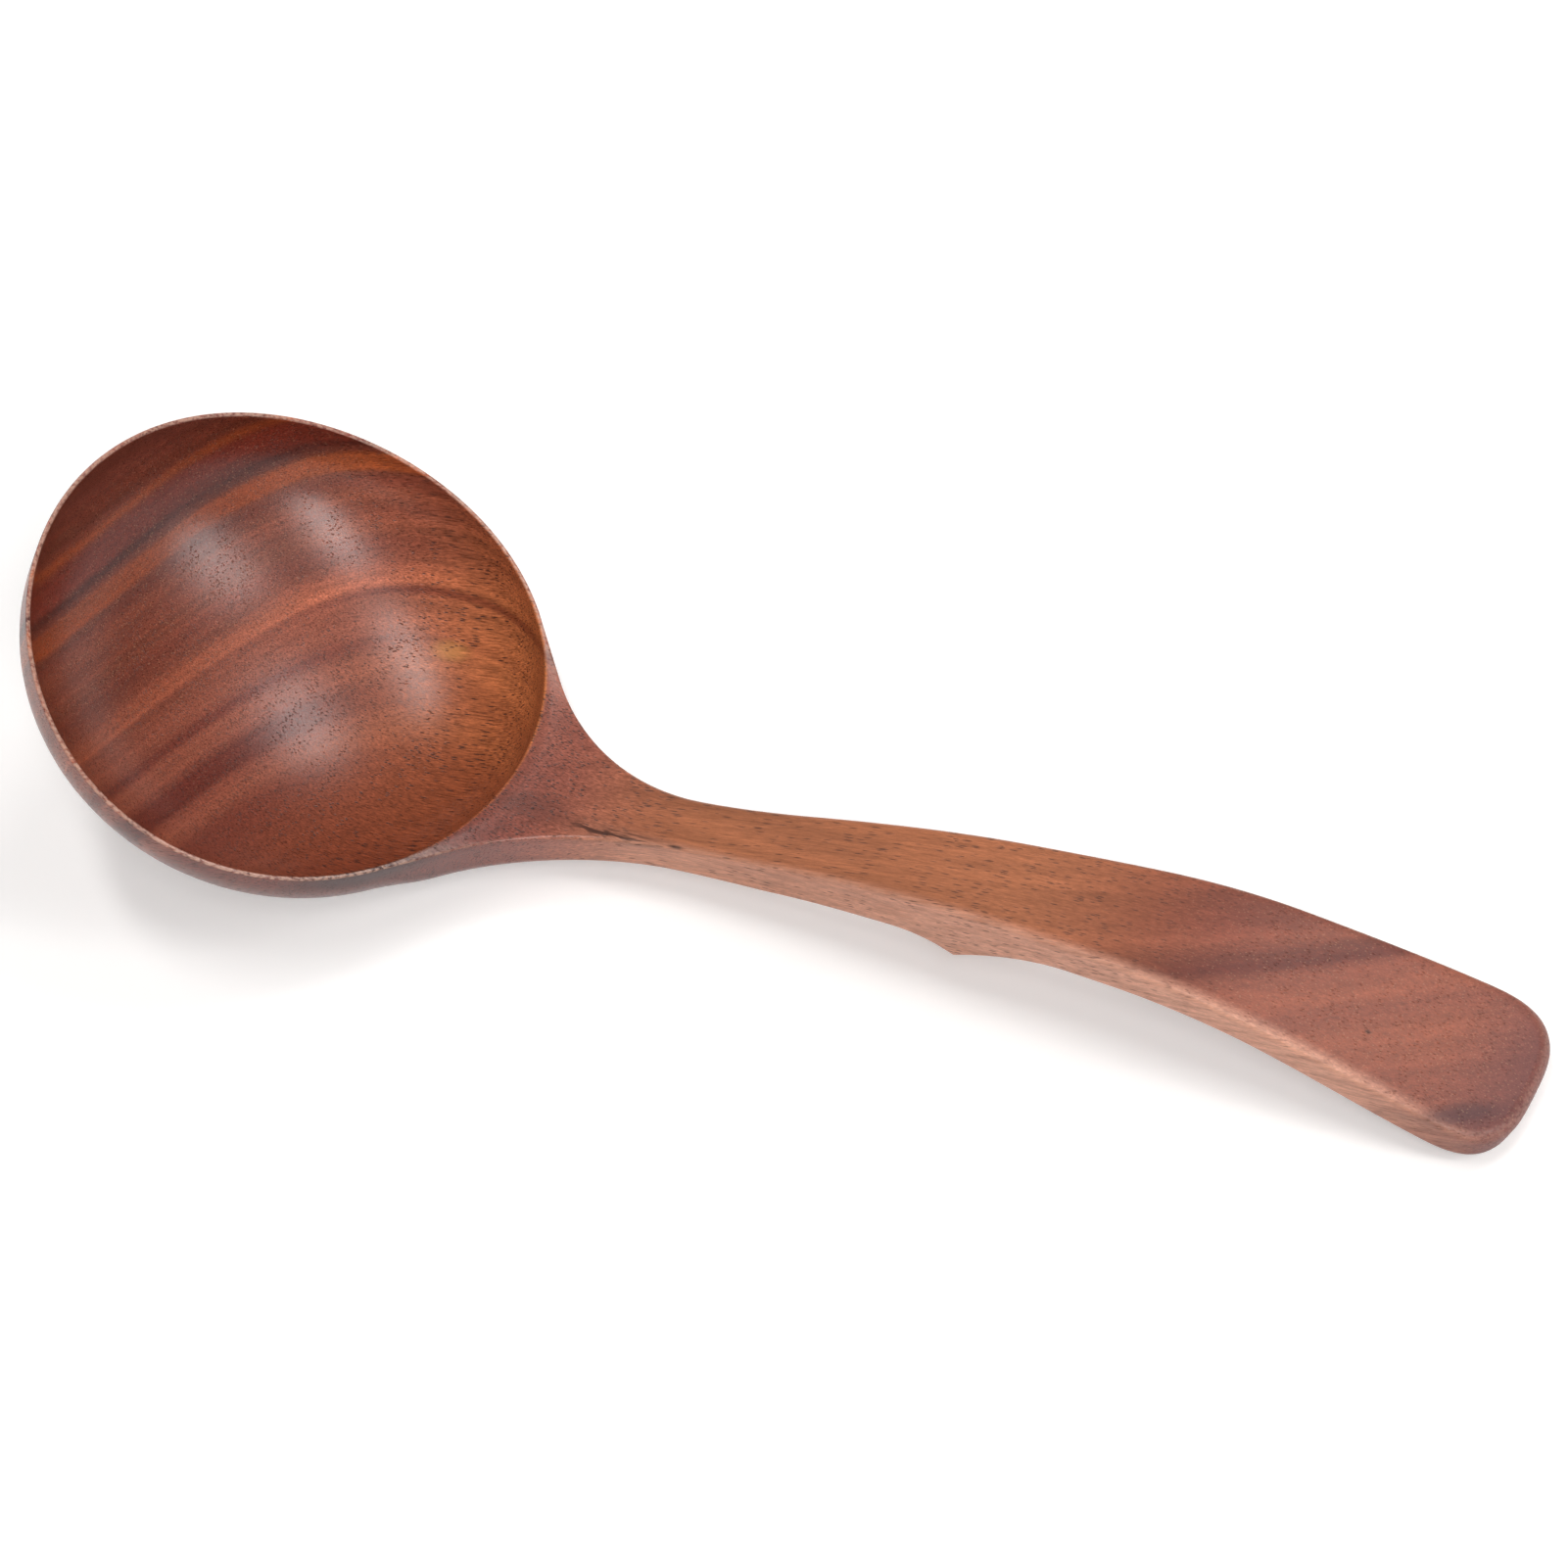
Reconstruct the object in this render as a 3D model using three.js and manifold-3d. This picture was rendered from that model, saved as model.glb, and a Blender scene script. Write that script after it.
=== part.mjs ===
// A wooden ladle carved from one billet: a round bowl with a dished rim, a flared neck, a bent handle
// with a pot-rim nib underneath, and a broad rounded end. There is no joint and no second piece.
// Millimetres. The ladle is shaped with its bowl level, the bowl's centre over the origin, the handle
// along +X and +Z up, and is then laid on a table, on its bowl and the tip of its handle.

import * as THREE from "three";
import { mergeVertices } from "three/addons/utils/BufferGeometryUtils.js";
import Module from "manifold-3d";

// Bowl. Heights are counted from the lowest point of the rim, which is at the two sides.
const BOWL_INNER_DIAMETER = 85;
const BOWL_INNER_DEPTH = 22;
const BOWL_FLOOR = 4.5;
const RIM_LAND = 0.8;
const RIM_WALL = 1.5;
const RIM_ARRIS = 0.3;

// Top line, seen from the side: one arc through the bowl, then tangent arcs up and along the handle.
// Each arc has its length along the line and the angle above level, in degrees, at its far end.
const DIP_RADIUS = 193;
const DIP_REACH = 41;
const NECK_ARC = 32;
const NECK_ANGLE = 35.7;
const LIFT_ARC = 22;
const LIFT_ANGLE = 39.8;
const REACH_ARC = 40;
const REACH_ANGLE = 30.6;
const CREST_ARC = 21;
const CREST_ANGLE = 27.7;
const BEND_ARC = 23.5;
const BEND_ANGLE = 14.5;
const GRIP_ARC = 43.4;
const GRIP_ANGLE = 8.6;

// Plan: the neck's narrowest place and the widths of the handle.
const NECK_REACH = 72;
const NECK_WIDTH = 10.6;
const FLARE_STRAIGHT = 12.6;
const NIB_WIDTH = 16.8;
const BEND_WIDTH = 23.8;
const END_WIDTH = 28;
const END_ROUND = 13;
const END_SQUARENESS = 3.1;

// Thickness of the handle, square to its top line, and the nib that catches the rim of a pot.
const FLARE_WALL = 8;
const NECK_THICKNESS = 6.6;
const SHOULDER_THICKNESS = 8.6;
const PALM_THICKNESS = 6.5;
const BEND_THICKNESS = 5.8;
const END_THICKNESS = 6.8;
const NIB_REACH = 117.6;
const NIB_THICKNESS = 11.5;
const NIB_BEARING = 3;
const NIB_FRONT_RUN = 11;
const NIB_BACK_RUN = 16;
const HANDLE_ARRIS = 0.8;
const END_ARRIS = 2.4;
const UNDERSIDE_ROUND = 2;
const UNDERSIDE_SQUARENESS = 4;
const UNDERSIDE_FLAT = 6;

// Where the round underside of the bowl starts to run out into the neck, from the bowl's centre.
const RUNOUT_REACH = 30;

// Steps of the mesh.
const FRONT_STEPS = 22;
const SIDE_STEPS = 14;
const STRAIGHT_STEPS = 4;
const FLARE_STEPS = 12;
const HANDLE_STEPS = 30;
const END_STEPS = 10;
const TOP_STEPS = 4;
const UNDERSIDE_STEPS = 11;
const HOLLOW_STEPS = 12;
const HOLLOW_TURN_STEPS = 72;
const ARC_STEPS = 24;

const INNER_RADIUS = BOWL_INNER_DIAMETER / 2;
const OUTER_RADIUS = INNER_RADIUS + RIM_LAND;
const UNDERSIDE_DEPTH = BOWL_INNER_DEPTH + BOWL_FLOOR - RIM_WALL;
const RAD = THREE.MathUtils.DEG2RAD;

const wasm = await Module();
wasm.setup();

// Cubic between two stations {x, value, slope}.
function hermite(x, from, to) {
  const run = to.x - from.x;
  const t = THREE.MathUtils.clamp((x - from.x) / run, 0, 1);
  const t2 = t * t;
  const t3 = t2 * t;
  return (
    (2 * t3 - 3 * t2 + 1) * from.value +
    (t3 - 2 * t2 + t) * run * from.slope +
    (3 * t2 - 2 * t3) * to.value +
    (t3 - t2) * run * to.slope
  );
}

// A smooth function through stations [x, value]. Its slope at a station is the harmonic mean of the
// slopes on the two sides, so it never swings past a station, and it is level at both ends.
function smoothThrough(stations) {
  const chord = (i) => (stations[i + 1][1] - stations[i][1]) / (stations[i + 1][0] - stations[i][0]);
  const knots = stations.map(([x, value], i) => {
    const inside = i > 0 && i < stations.length - 1;
    const product = inside ? chord(i - 1) * chord(i) : 0;
    const slope = product > 0 ? (2 * product) / (chord(i - 1) + chord(i)) : 0;
    return { x, value, slope };
  });
  return (x) => {
    const next = knots.findIndex((knot) => knot.x > x);
    if (next === 0) return knots[0].value;
    if (next < 0) return knots.at(-1).value;
    return hermite(x, knots[next - 1], knots[next]);
  };
}

// The handle's top line as points {x, z, angle}, one tangent arc after another.
function makeTopLine() {
  const start = Math.asin(DIP_REACH / DIP_RADIUS);
  const arcs = [
    [NECK_ARC, NECK_ANGLE],
    [LIFT_ARC, LIFT_ANGLE],
    [REACH_ARC, REACH_ANGLE],
    [CREST_ARC, CREST_ANGLE],
    [BEND_ARC, BEND_ANGLE],
    [GRIP_ARC, GRIP_ANGLE],
  ];
  let last = { x: DIP_REACH, z: DIP_RADIUS * (1 - Math.cos(start)), angle: start };
  const points = [last];
  for (const [length, endAngle] of arcs) {
    const step = length / ARC_STEPS;
    const turn = (endAngle * RAD - last.angle) / ARC_STEPS;
    for (let i = 0; i < ARC_STEPS; i++) {
      const mid = last.angle + turn / 2;
      const x = last.x + step * Math.cos(mid);
      const z = last.z + step * Math.sin(mid);
      last = { x, z, angle: last.angle + turn };
      points.push(last);
    }
  }
  return points;
}

const TOP_LINE = makeTopLine();
const END_REACH = TOP_LINE.at(-1).x;
const BEND_REACH = TOP_LINE[5 * ARC_STEPS].x;
const END_CENTRE = END_REACH - END_ROUND;

// Height and slope angle of the top face at x: it is straight from side to side.
function topAt(x) {
  if (x <= DIP_REACH) {
    const angle = Math.asin(x / DIP_RADIUS);
    return { z: DIP_RADIUS * (1 - Math.cos(angle)), angle };
  }
  const found = TOP_LINE.findIndex((point) => point.x >= x);
  const i = found < 0 ? TOP_LINE.length - 1 : Math.max(1, found);
  const a = TOP_LINE[i - 1];
  const b = TOP_LINE[i];
  const t = Math.min(1, (x - a.x) / (b.x - a.x));
  return { z: a.z + t * (b.z - a.z), angle: a.angle + t * (b.angle - a.angle) };
}

// The flare: a straight tangent off the bowl's outside, then an arc that levels out at the neck.
const NECK_HALF = NECK_WIDTH / 2;
const FLARE_RADIUS =
  (NECK_REACH ** 2 + NECK_HALF ** 2 - OUTER_RADIUS ** 2 - FLARE_STRAIGHT ** 2) /
  (2 * (OUTER_RADIUS - NECK_HALF));
const FLARE_CENTRE = new THREE.Vector2(NECK_REACH, NECK_HALF + FLARE_RADIUS);
const FLARE_ANGLE = FLARE_CENTRE.angle() + Math.atan(FLARE_STRAIGHT / (OUTER_RADIUS + FLARE_RADIUS));
const FLARE_NORMAL = new THREE.Vector2(Math.cos(FLARE_ANGLE), Math.sin(FLARE_ANGLE));
const FLARE_START = FLARE_NORMAL.clone().multiplyScalar(OUTER_RADIUS);
const FLARE_END = FLARE_CENTRE.clone().addScaledVector(FLARE_NORMAL, -FLARE_RADIUS);

const handleHalfWidth = smoothThrough([
  [NECK_REACH, NECK_HALF],
  [NIB_REACH, NIB_WIDTH / 2],
  [BEND_REACH, BEND_WIDTH / 2],
  [END_REACH, END_WIDTH / 2],
]);

// Half-width of the plan at x, before the end is rounded.
function halfWidthAt(x) {
  if (x <= FLARE_START.x) return Math.sqrt(Math.max(0, OUTER_RADIUS ** 2 - x ** 2));
  if (x <= FLARE_END.x) return FLARE_START.y - (x - FLARE_START.x) / Math.tan(FLARE_ANGLE);
  if (x <= NECK_REACH) return FLARE_CENTRE.y - Math.sqrt(FLARE_RADIUS ** 2 - (NECK_REACH - x) ** 2);
  return handleHalfWidth(x);
}

const frontThickness = smoothThrough([
  [NECK_REACH, NECK_THICKNESS],
  [NIB_REACH, SHOULDER_THICKNESS],
]);
const backThickness = smoothThrough([
  [NIB_REACH, PALM_THICKNESS],
  [BEND_REACH, BEND_THICKNESS],
  [END_CENTRE, END_THICKNESS],
]);

// The nib is a cusp between two scoops. Its front, towards the bowl, ends in a short straight bearing.
function nibAt(x) {
  const front = x < NIB_REACH;
  const body = front ? SHOULDER_THICKNESS : PALM_THICKNESS;
  const run = front ? NIB_FRONT_RUN : NIB_BACK_RUN;
  const away = Math.abs(x - NIB_REACH) / run;
  if (away >= 1) return 0;
  const scoop = (share) => (1 - share) ** 2;
  const bearing = NIB_BEARING / run;
  if (!front || away > bearing) return (NIB_THICKNESS - body) * scoop(away);
  const t = away / bearing;
  return (NIB_THICKNESS - body) * (1 + t * (scoop(bearing) - 1));
}

// Depth of the handle's underside below its top line, straight down.
function handleDepthAt(x) {
  const thickness = (x < NIB_REACH ? frontThickness(x) : backThickness(x)) + nibAt(x);
  return thickness / Math.cos(topAt(x).angle);
}

// Height of the upright side wall: the rim band round the bowl, and most of the handle's thickness.
const flareWall = smoothThrough([
  [FLARE_START.x, topAt(FLARE_START.x).z + RIM_WALL],
  [FLARE_END.x, FLARE_WALL],
  [NECK_REACH, handleDepthAt(NECK_REACH) - UNDERSIDE_ROUND],
]);
function wallAt(x) {
  if (x <= FLARE_START.x) return topAt(x).z + RIM_WALL;
  if (x <= NECK_REACH) return flareWall(x);
  return handleDepthAt(x) - UNDERSIDE_ROUND;
}

// Height of the underside along the middle of the ladle.
function keelAt(x) {
  const share = (at) => Math.sqrt(1 - (at / OUTER_RADIUS) ** 2);
  const round = (at) => -RIM_WALL - UNDERSIDE_DEPTH * share(at);
  if (x <= RUNOUT_REACH) return round(x);
  if (x >= NECK_REACH) return topAt(x).z - handleDepthAt(x);
  const rise = (UNDERSIDE_DEPTH * RUNOUT_REACH) / (OUTER_RADIUS ** 2 * share(RUNOUT_REACH));
  const from = { x: RUNOUT_REACH, value: round(RUNOUT_REACH), slope: rise };
  const neck = topAt(NECK_REACH);
  const to = { x: NECK_REACH, value: neck.z - handleDepthAt(NECK_REACH), slope: Math.tan(neck.angle) };
  return hermite(x, from, to);
}

const squarenessAt = smoothThrough([
  [FLARE_START.x, 2],
  [NIB_REACH, UNDERSIDE_SQUARENESS],
]);
const flatAt = smoothThrough([
  [NECK_REACH, 0],
  [NIB_REACH - NIB_FRONT_RUN, UNDERSIDE_FLAT / 2],
]);
const arrisAt = smoothThrough([
  [FLARE_START.x, RIM_ARRIS],
  [NECK_REACH, HANDLE_ARRIS],
  [END_CENTRE, HANDLE_ARRIS],
  [END_REACH, END_ARRIS],
]);

// One side of the plan, from the front of the bowl to the middle of the handle's end, as {edge, spine}
// pairs: the spine is the point on the middle line that a rib of the body runs in to.
function makeOutline() {
  const pairs = [];
  const add = (x, y) => {
    const spine = new THREE.Vector2(THREE.MathUtils.clamp(x, 0, END_CENTRE), 0);
    pairs.push({ edge: new THREE.Vector2(x, y), spine });
  };
  for (let i = 0; i < FRONT_STEPS; i++) {
    const angle = Math.PI - ((Math.PI / 2) * i) / FRONT_STEPS;
    add(OUTER_RADIUS * Math.cos(angle), i ? OUTER_RADIUS * Math.sin(angle) : 0);
  }
  for (let i = 0; i < SIDE_STEPS; i++) {
    const angle = Math.PI / 2 + ((FLARE_ANGLE - Math.PI / 2) * i) / SIDE_STEPS;
    add(i ? OUTER_RADIUS * Math.cos(angle) : 0, OUTER_RADIUS * Math.sin(angle));
  }
  for (let i = 0; i < STRAIGHT_STEPS; i++) {
    const point = FLARE_START.clone().lerp(FLARE_END, i / STRAIGHT_STEPS);
    add(point.x, point.y);
  }
  for (let i = 0; i < FLARE_STEPS; i++) {
    const angle = FLARE_ANGLE + ((Math.PI / 2 - FLARE_ANGLE) * i) / FLARE_STEPS;
    add(
      FLARE_CENTRE.x - FLARE_RADIUS * Math.cos(angle),
      FLARE_CENTRE.y - FLARE_RADIUS * Math.sin(angle),
    );
  }
  for (const x of handleStations()) add(x, halfWidthAt(x));
  for (let i = 0; i <= END_STEPS; i++) {
    const angle = ((Math.PI / 2) * i) / END_STEPS;
    const x = END_CENTRE + END_ROUND * Math.sin(angle) ** (2 / END_SQUARENESS);
    const round = i < END_STEPS ? Math.cos(angle) ** (2 / END_SQUARENESS) : 0;
    add(x, halfWidthAt(x) * round);
  }
  return pairs;
}

// Places along the handle that carry a rib: evenly spaced, with the nib's tip and bearing hit exactly.
function handleStations() {
  const stations = [];
  const spread = (from, to, count) => {
    for (let i = 0; i < count; i++) stations.push(from + ((to - from) * i) / count);
  };
  const scoopStart = NIB_REACH - NIB_FRONT_RUN;
  const scoopEnd = NIB_REACH + NIB_BACK_RUN;
  spread(NECK_REACH, scoopStart, Math.round(HANDLE_STEPS * 0.25));
  spread(scoopStart, NIB_REACH - NIB_BEARING, 4);
  stations.push(NIB_REACH - NIB_BEARING);
  spread(NIB_REACH, scoopEnd, 7);
  spread(scoopEnd, END_CENTRE, Math.round(HANDLE_STEPS * 0.45));
  return stations;
}

// A rib runs from the middle line out across the top face, over the arris, down the side wall and
// back along the underside. side is +1 or -1.
function makeRib({ edge, spine }, side) {
  const rib = [];
  const span = edge.distanceTo(spine);
  const inset = Math.min(arrisAt(edge.x), span / 2);
  const put = (share, z) => {
    const plan = spine.clone().lerp(edge, share);
    rib.push(new THREE.Vector3(plan.x, plan.y * side, z(plan.x)));
  };
  const top = (x) => topAt(x).z;
  for (let i = 0; i <= TOP_STEPS; i++) put((i / TOP_STEPS) * (1 - inset / span), top);
  put(1 - (0.29 * inset) / span, (x) => top(x) - 0.29 * inset);
  put(1, (x) => top(x) - inset);
  const wall = (x) => top(x) - wallAt(x);
  const belly = wall(spine.x) - keelAt(spine.x);
  const power = 2 / squarenessAt(spine.x);
  const flat = flatAt(spine.x) / span;
  for (let i = 0; i <= UNDERSIDE_STEPS; i++) {
    const angle = ((Math.PI / 2) * i) / UNDERSIDE_STEPS;
    const round = i < UNDERSIDE_STEPS ? Math.cos(angle) ** power : 0;
    put(flat + (1 - flat) * round, (x) => wall(x) - belly * Math.sin(angle) ** power);
  }
  put(0, (x) => wall(x) - belly);
  return rib;
}

// A closed surface through a loop of ribs, whose first and last points meet along the middle line.
function loftRibs(ribs) {
  const size = ribs[0].length;
  const positions = ribs.flatMap((rib) => rib.flatMap((point) => point.toArray()));
  const index = [];
  ribs.forEach((_, i) => {
    const a = i * size;
    const b = ((i + 1) % ribs.length) * size;
    for (let j = 0; j + 1 < size; j++) {
      index.push(a + j, a + j + 1, b + j);
      index.push(b + j, a + j + 1, b + j + 1);
    }
  });
  const geometry = new THREE.BufferGeometry();
  geometry.setAttribute("position", new THREE.Float32BufferAttribute(positions, 3));
  geometry.setIndex(index);
  return geometry;
}

function makeBody() {
  const outline = makeOutline();
  const left = outline.map((pair) => makeRib(pair, 1));
  const right = outline.slice(1, -1).map((pair) => makeRib(pair, -1));
  return loftRibs([...left.reverse(), ...right]);
}

// The hollow of the bowl: half an ellipsoid, carried straight up past the rim.
function makeHollow() {
  const clear = DIP_RADIUS * (1 - Math.cos(Math.asin(OUTER_RADIUS / DIP_RADIUS))) + OUTER_RADIUS;
  const profile = [];
  for (let i = 0; i <= HOLLOW_STEPS; i++) {
    const angle = ((Math.PI / 2) * i) / HOLLOW_STEPS;
    const radius = i ? INNER_RADIUS * Math.sin(angle) : 0;
    profile.push(new THREE.Vector2(radius, -BOWL_INNER_DEPTH * Math.cos(angle)));
  }
  profile.push(new THREE.Vector2(INNER_RADIUS, clear));
  profile.push(new THREE.Vector2(0, clear));
  return new THREE.LatheGeometry(profile, HOLLOW_TURN_STEPS).rotateX(Math.PI / 2);
}

// A geometry as a solid, with its shared vertices merged and its collapsed triangles left out.
function toSolid(geometry) {
  const bare = geometry.clone();
  bare.deleteAttribute("normal");
  bare.deleteAttribute("uv");
  const merged = mergeVertices(bare, 1e-4);
  const corners = merged.index.array;
  const kept = [];
  for (let i = 0; i < corners.length; i += 3) {
    const [a, b, c] = corners.subarray(i, i + 3);
    if (a !== b && b !== c && c !== a) kept.push(a, b, c);
  }
  const vertProperties = merged.attributes.position.array;
  return new wasm.Manifold(
    new wasm.Mesh({ numProp: 3, vertProperties, triVerts: new Uint32Array(kept) }),
  );
}

function toGeometry(solid) {
  const { vertProperties, triVerts } = solid.getMesh();
  const geometry = new THREE.BufferGeometry();
  geometry.setAttribute("position", new THREE.BufferAttribute(vertProperties, 3));
  geometry.setIndex(new THREE.BufferAttribute(triVerts, 1));
  geometry.computeVertexNormals();
  return geometry;
}

// How far the ladle leans back before the tip of its handle and its bowl stand on one level table.
function restingTilt(geometry) {
  const position = geometry.getAttribute("position");
  const lowest = (tilt, inHandle) => {
    let low = Infinity;
    for (let i = 0; i < position.count; i++) {
      if (position.getX(i) > NECK_REACH !== inHandle) continue;
      low = Math.min(low, position.getZ(i) * Math.cos(tilt) - position.getX(i) * Math.sin(tilt));
    }
    return low;
  };
  let level = 0;
  let steep = Math.PI / 2;
  for (let i = 0; i < 50; i++) {
    const tilt = (level + steep) / 2;
    if (lowest(tilt, true) > lowest(tilt, false)) level = tilt;
    else steep = tilt;
  }
  return (level + steep) / 2;
}

const oiledWood = new THREE.MeshStandardMaterial({ color: 0x9a5a45, roughness: 0.45, metalness: 0 });
const carved = toGeometry(toSolid(makeBody()).subtract(toSolid(makeHollow())));

const ladle = new THREE.Mesh(carved, oiledWood);
ladle.name = "ladle";
ladle.rotation.y = restingTilt(carved);
ladle.updateMatrixWorld(true);
const box = new THREE.Box3().setFromObject(ladle, true);
ladle.position.set(-(box.min.x + box.max.x) / 2, 0, -box.min.z);

const root = new THREE.Group();
root.add(ladle);

export default root;
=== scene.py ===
"""A wooden ladle, carved from one billet and oiled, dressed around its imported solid.

The ladle is shaped with its bowl level, the bowl's centre at the origin, the handle along +X and +Z up,
in millimetres. The finished mesh is then laid down as the solid lies, on its bowl and the tip of its
handle, and brought to metres.
"""

import logging
import math
from dataclasses import dataclass, field
from enum import Enum
from typing import Any, Sequence

import bmesh
import bpy
import numpy as np
from mathutils import Matrix, Vector


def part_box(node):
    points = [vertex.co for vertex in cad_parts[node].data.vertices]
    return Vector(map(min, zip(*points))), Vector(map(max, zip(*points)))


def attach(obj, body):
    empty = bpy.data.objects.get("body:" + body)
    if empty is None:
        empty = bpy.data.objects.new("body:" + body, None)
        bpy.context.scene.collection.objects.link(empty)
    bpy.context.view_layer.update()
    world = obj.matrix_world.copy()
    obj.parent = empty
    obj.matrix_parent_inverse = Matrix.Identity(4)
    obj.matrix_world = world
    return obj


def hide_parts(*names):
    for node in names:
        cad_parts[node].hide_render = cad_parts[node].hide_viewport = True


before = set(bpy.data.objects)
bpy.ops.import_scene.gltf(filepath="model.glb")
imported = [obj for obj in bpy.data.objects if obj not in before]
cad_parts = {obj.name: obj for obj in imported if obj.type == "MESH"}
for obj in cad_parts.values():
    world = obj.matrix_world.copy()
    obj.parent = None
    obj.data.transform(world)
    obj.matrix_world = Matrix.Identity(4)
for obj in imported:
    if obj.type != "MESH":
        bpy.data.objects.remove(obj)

MM = 0.001
TINY = 1e-6
NODE = "ladle"
PIECE = "carved_ladle"
SLOT = "oiled_wood"
# The mesh value of the pale edges: partly from use, partly painted highlight.
WEAR_AND_HIGHLIGHT = "wear_and_highlight"
PHOTO_PIXELS = 1601
TILT_TRIES = 50
CIRCLE_POWER = 2.0
MIDDLE = 0.5
NOISE_RANGE = (0.3, 0.7)
FLOAT, VECTOR = "NodeSocketFloat", "NodeSocketVector"

Array = np.ndarray
Pair = tuple[float, float]
Triple = tuple[float, float, float]
Colour = tuple[float, float, float, float]
Node, Socket, Tree = bpy.types.Node, bpy.types.NodeSocket, bpy.types.NodeTree

WHITE: Colour = (1.0, 1.0, 1.0, 1.0)

log = logging.getLogger("ladle")


def around(turns: Array) -> Array:
    """Returns the points of the unit circle at some angles."""
    return np.stack([np.cos(turns), np.sin(turns)], axis=1)


class SmoothLine:
    """A smooth function through stations that never swings past one and is level at both ends."""

    def __init__(self, *stations: Pair) -> None:
        """Works out the slope at each station.

        Args:
            stations: pairs of place and value, in rising order of place.
        """
        self.places, self.values = (np.array(column) for column in zip(*stations))
        chords = np.diff(self.values) / np.diff(self.places)
        self.slopes = np.zeros(len(stations))
        for i in range(1, len(stations) - 1):
            product = chords[i - 1] * chords[i]
            if product > 0:
                self.slopes[i] = 2 * product / (chords[i - 1] + chords[i])

    def __call__(self, x: Array) -> Array:
        """Reads the line, which is held level outside its stations.

        Args:
            x: the places to read.

        Returns:
            The values there.
        """
        i = np.clip(np.searchsorted(self.places, x, side="right") - 1, 0, len(self.places) - 2)
        run = self.places[i + 1] - self.places[i]
        t = np.clip((x - self.places[i]) / run, 0, 1)
        rise = (3 - 2 * t) * t * t
        lead = t * (1 - t) ** 2 * run * self.slopes[i]
        trail = t * t * (t - 1) * run * self.slopes[i + 1]
        return (1 - rise) * self.values[i] + rise * self.values[i + 1] + lead + trail


@dataclass(frozen=True)
class Arc:
    """One tangent arc of the top line: its length, and the angle above level at its far end in degrees."""

    length: float
    end_angle: float


@dataclass
class TopLine:
    """The top face seen from the side: an arc through the bowl, then tangent arcs along the handle."""

    dip_radius: float = 193.0
    dip_reach: float = 41.0
    neck: Arc = Arc(32.0, 35.7)
    lift: Arc = Arc(22.0, 39.8)
    reach: Arc = Arc(40.0, 30.6)
    crest: Arc = Arc(21.0, 27.7)
    bend: Arc = Arc(23.5, 14.5)
    grip: Arc = Arc(43.4, 8.6)

    def __post_init__(self) -> None:
        """Works out where each arc starts, its angle there and its curvature."""
        curve = 1 / self.dip_radius
        starts = [(0.0, 0.0, 0.0, curve)]
        x = self.dip_reach
        angle = math.asin(x * curve)
        z = (1 - math.cos(angle)) / curve
        for arc in (self.neck, self.lift, self.reach, self.crest, self.bend, self.grip):
            end = math.radians(arc.end_angle)
            curve = (end - angle) / arc.length
            starts.append((x, z, angle, curve))
            x += (math.sin(end) - math.sin(angle)) / curve
            z += (math.cos(angle) - math.cos(end)) / curve
            angle = end
        self.starts = np.array(starts)
        self.end_reach = x
        self.bend_reach = float(self.starts[-1, 0])

    def arcs(self, x: Array) -> Array:
        """Returns the start's place, height and angle, and the curvature, of the arc at each x."""
        i = np.searchsorted(self.starts[1:, 0], x, side="right")
        return np.moveaxis(self.starts[i], -1, 0)

    def angle(self, x: Array) -> Array:
        """Returns the slope angle of the top face at x, in radians."""
        start_x, _, start_angle, curve = self.arcs(x)
        return np.arcsin(np.sin(start_angle) + curve * (x - start_x))

    def height(self, x: Array) -> Array:
        """Returns the height of the top face at x: it is straight from side to side."""
        _, start_z, start_angle, curve = self.arcs(x)
        return start_z + (np.cos(start_angle) - np.cos(self.angle(x))) / curve


@dataclass
class Bowl:
    """The round bowl. Heights count from the lowest point of the rim, at its two sides."""

    inner_diameter: float = 85.0
    inner_depth: float = 22.0
    floor: float = 4.5
    rim_land: float = 0.8
    rim_wall: float = 1.5
    rim_arris: float = 0.3
    runout_reach: float = 30.0

    @property
    def inner_radius(self) -> float:
        """Radius of the hollow at the rim."""
        return self.inner_diameter / 2

    @property
    def outer_radius(self) -> float:
        """Radius of the outside at the rim."""
        return self.inner_radius + self.rim_land

    @property
    def underside_depth(self) -> float:
        """Depth of the round underside below the rim's upright band."""
        return self.inner_depth + self.floor - self.rim_wall


@dataclass
class Handle:
    """The flared neck, the bent handle, the nib under it and the broad end."""

    neck_reach: float = 72.0
    neck_width: float = 10.6
    flare_straight: float = 12.6
    nib_width: float = 16.8
    bend_width: float = 23.8
    end_width: float = 28.0
    end_round: float = 13.0
    end_squareness: float = 3.1
    flare_wall: float = 8.0
    neck_thickness: float = 6.6
    shoulder_thickness: float = 8.6
    palm_thickness: float = 6.5
    bend_thickness: float = 5.8
    end_thickness: float = 6.8
    nib_reach: float = 117.6
    nib_thickness: float = 11.5
    nib_bearing: float = 3.0
    nib_front_run: float = 11.0
    nib_back_run: float = 16.0
    handle_arris: float = 0.8
    end_arris: float = 2.4
    underside_round: float = 2.0
    underside_squareness: float = 4.0
    underside_flat: float = 6.0


@dataclass(frozen=True)
class WearAndHighlight:
    """Where the edges are made pale, partly by use and partly as a painted highlight: all of the rim, and
    less on the arrises past the flare.
    """

    short_of_flare: float = 4.0
    past_flare: float = 8.0
    arris_share: float = 0.3


@dataclass
class MeshSteps:
    """How finely each stretch of the ladle is divided, and how the finished mesh is cleaned."""

    front: int = 56
    side: int = 34
    straight: int = 12
    flare: int = 30
    neck: int = 26
    scoop: int = 14
    palm: int = 44
    end: int = 30
    land: int = 6
    across: int = 16
    arris: int = 5
    wall: int = 4
    underside: int = 26
    hollow: int = 40
    hollow_wall: int = 4
    gate_reach: float = 57.0
    gate_angle: float = 14.0
    weld: float = 0.002
    sliver: float = 0.0005
    crease_angle: float = 40.0


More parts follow.
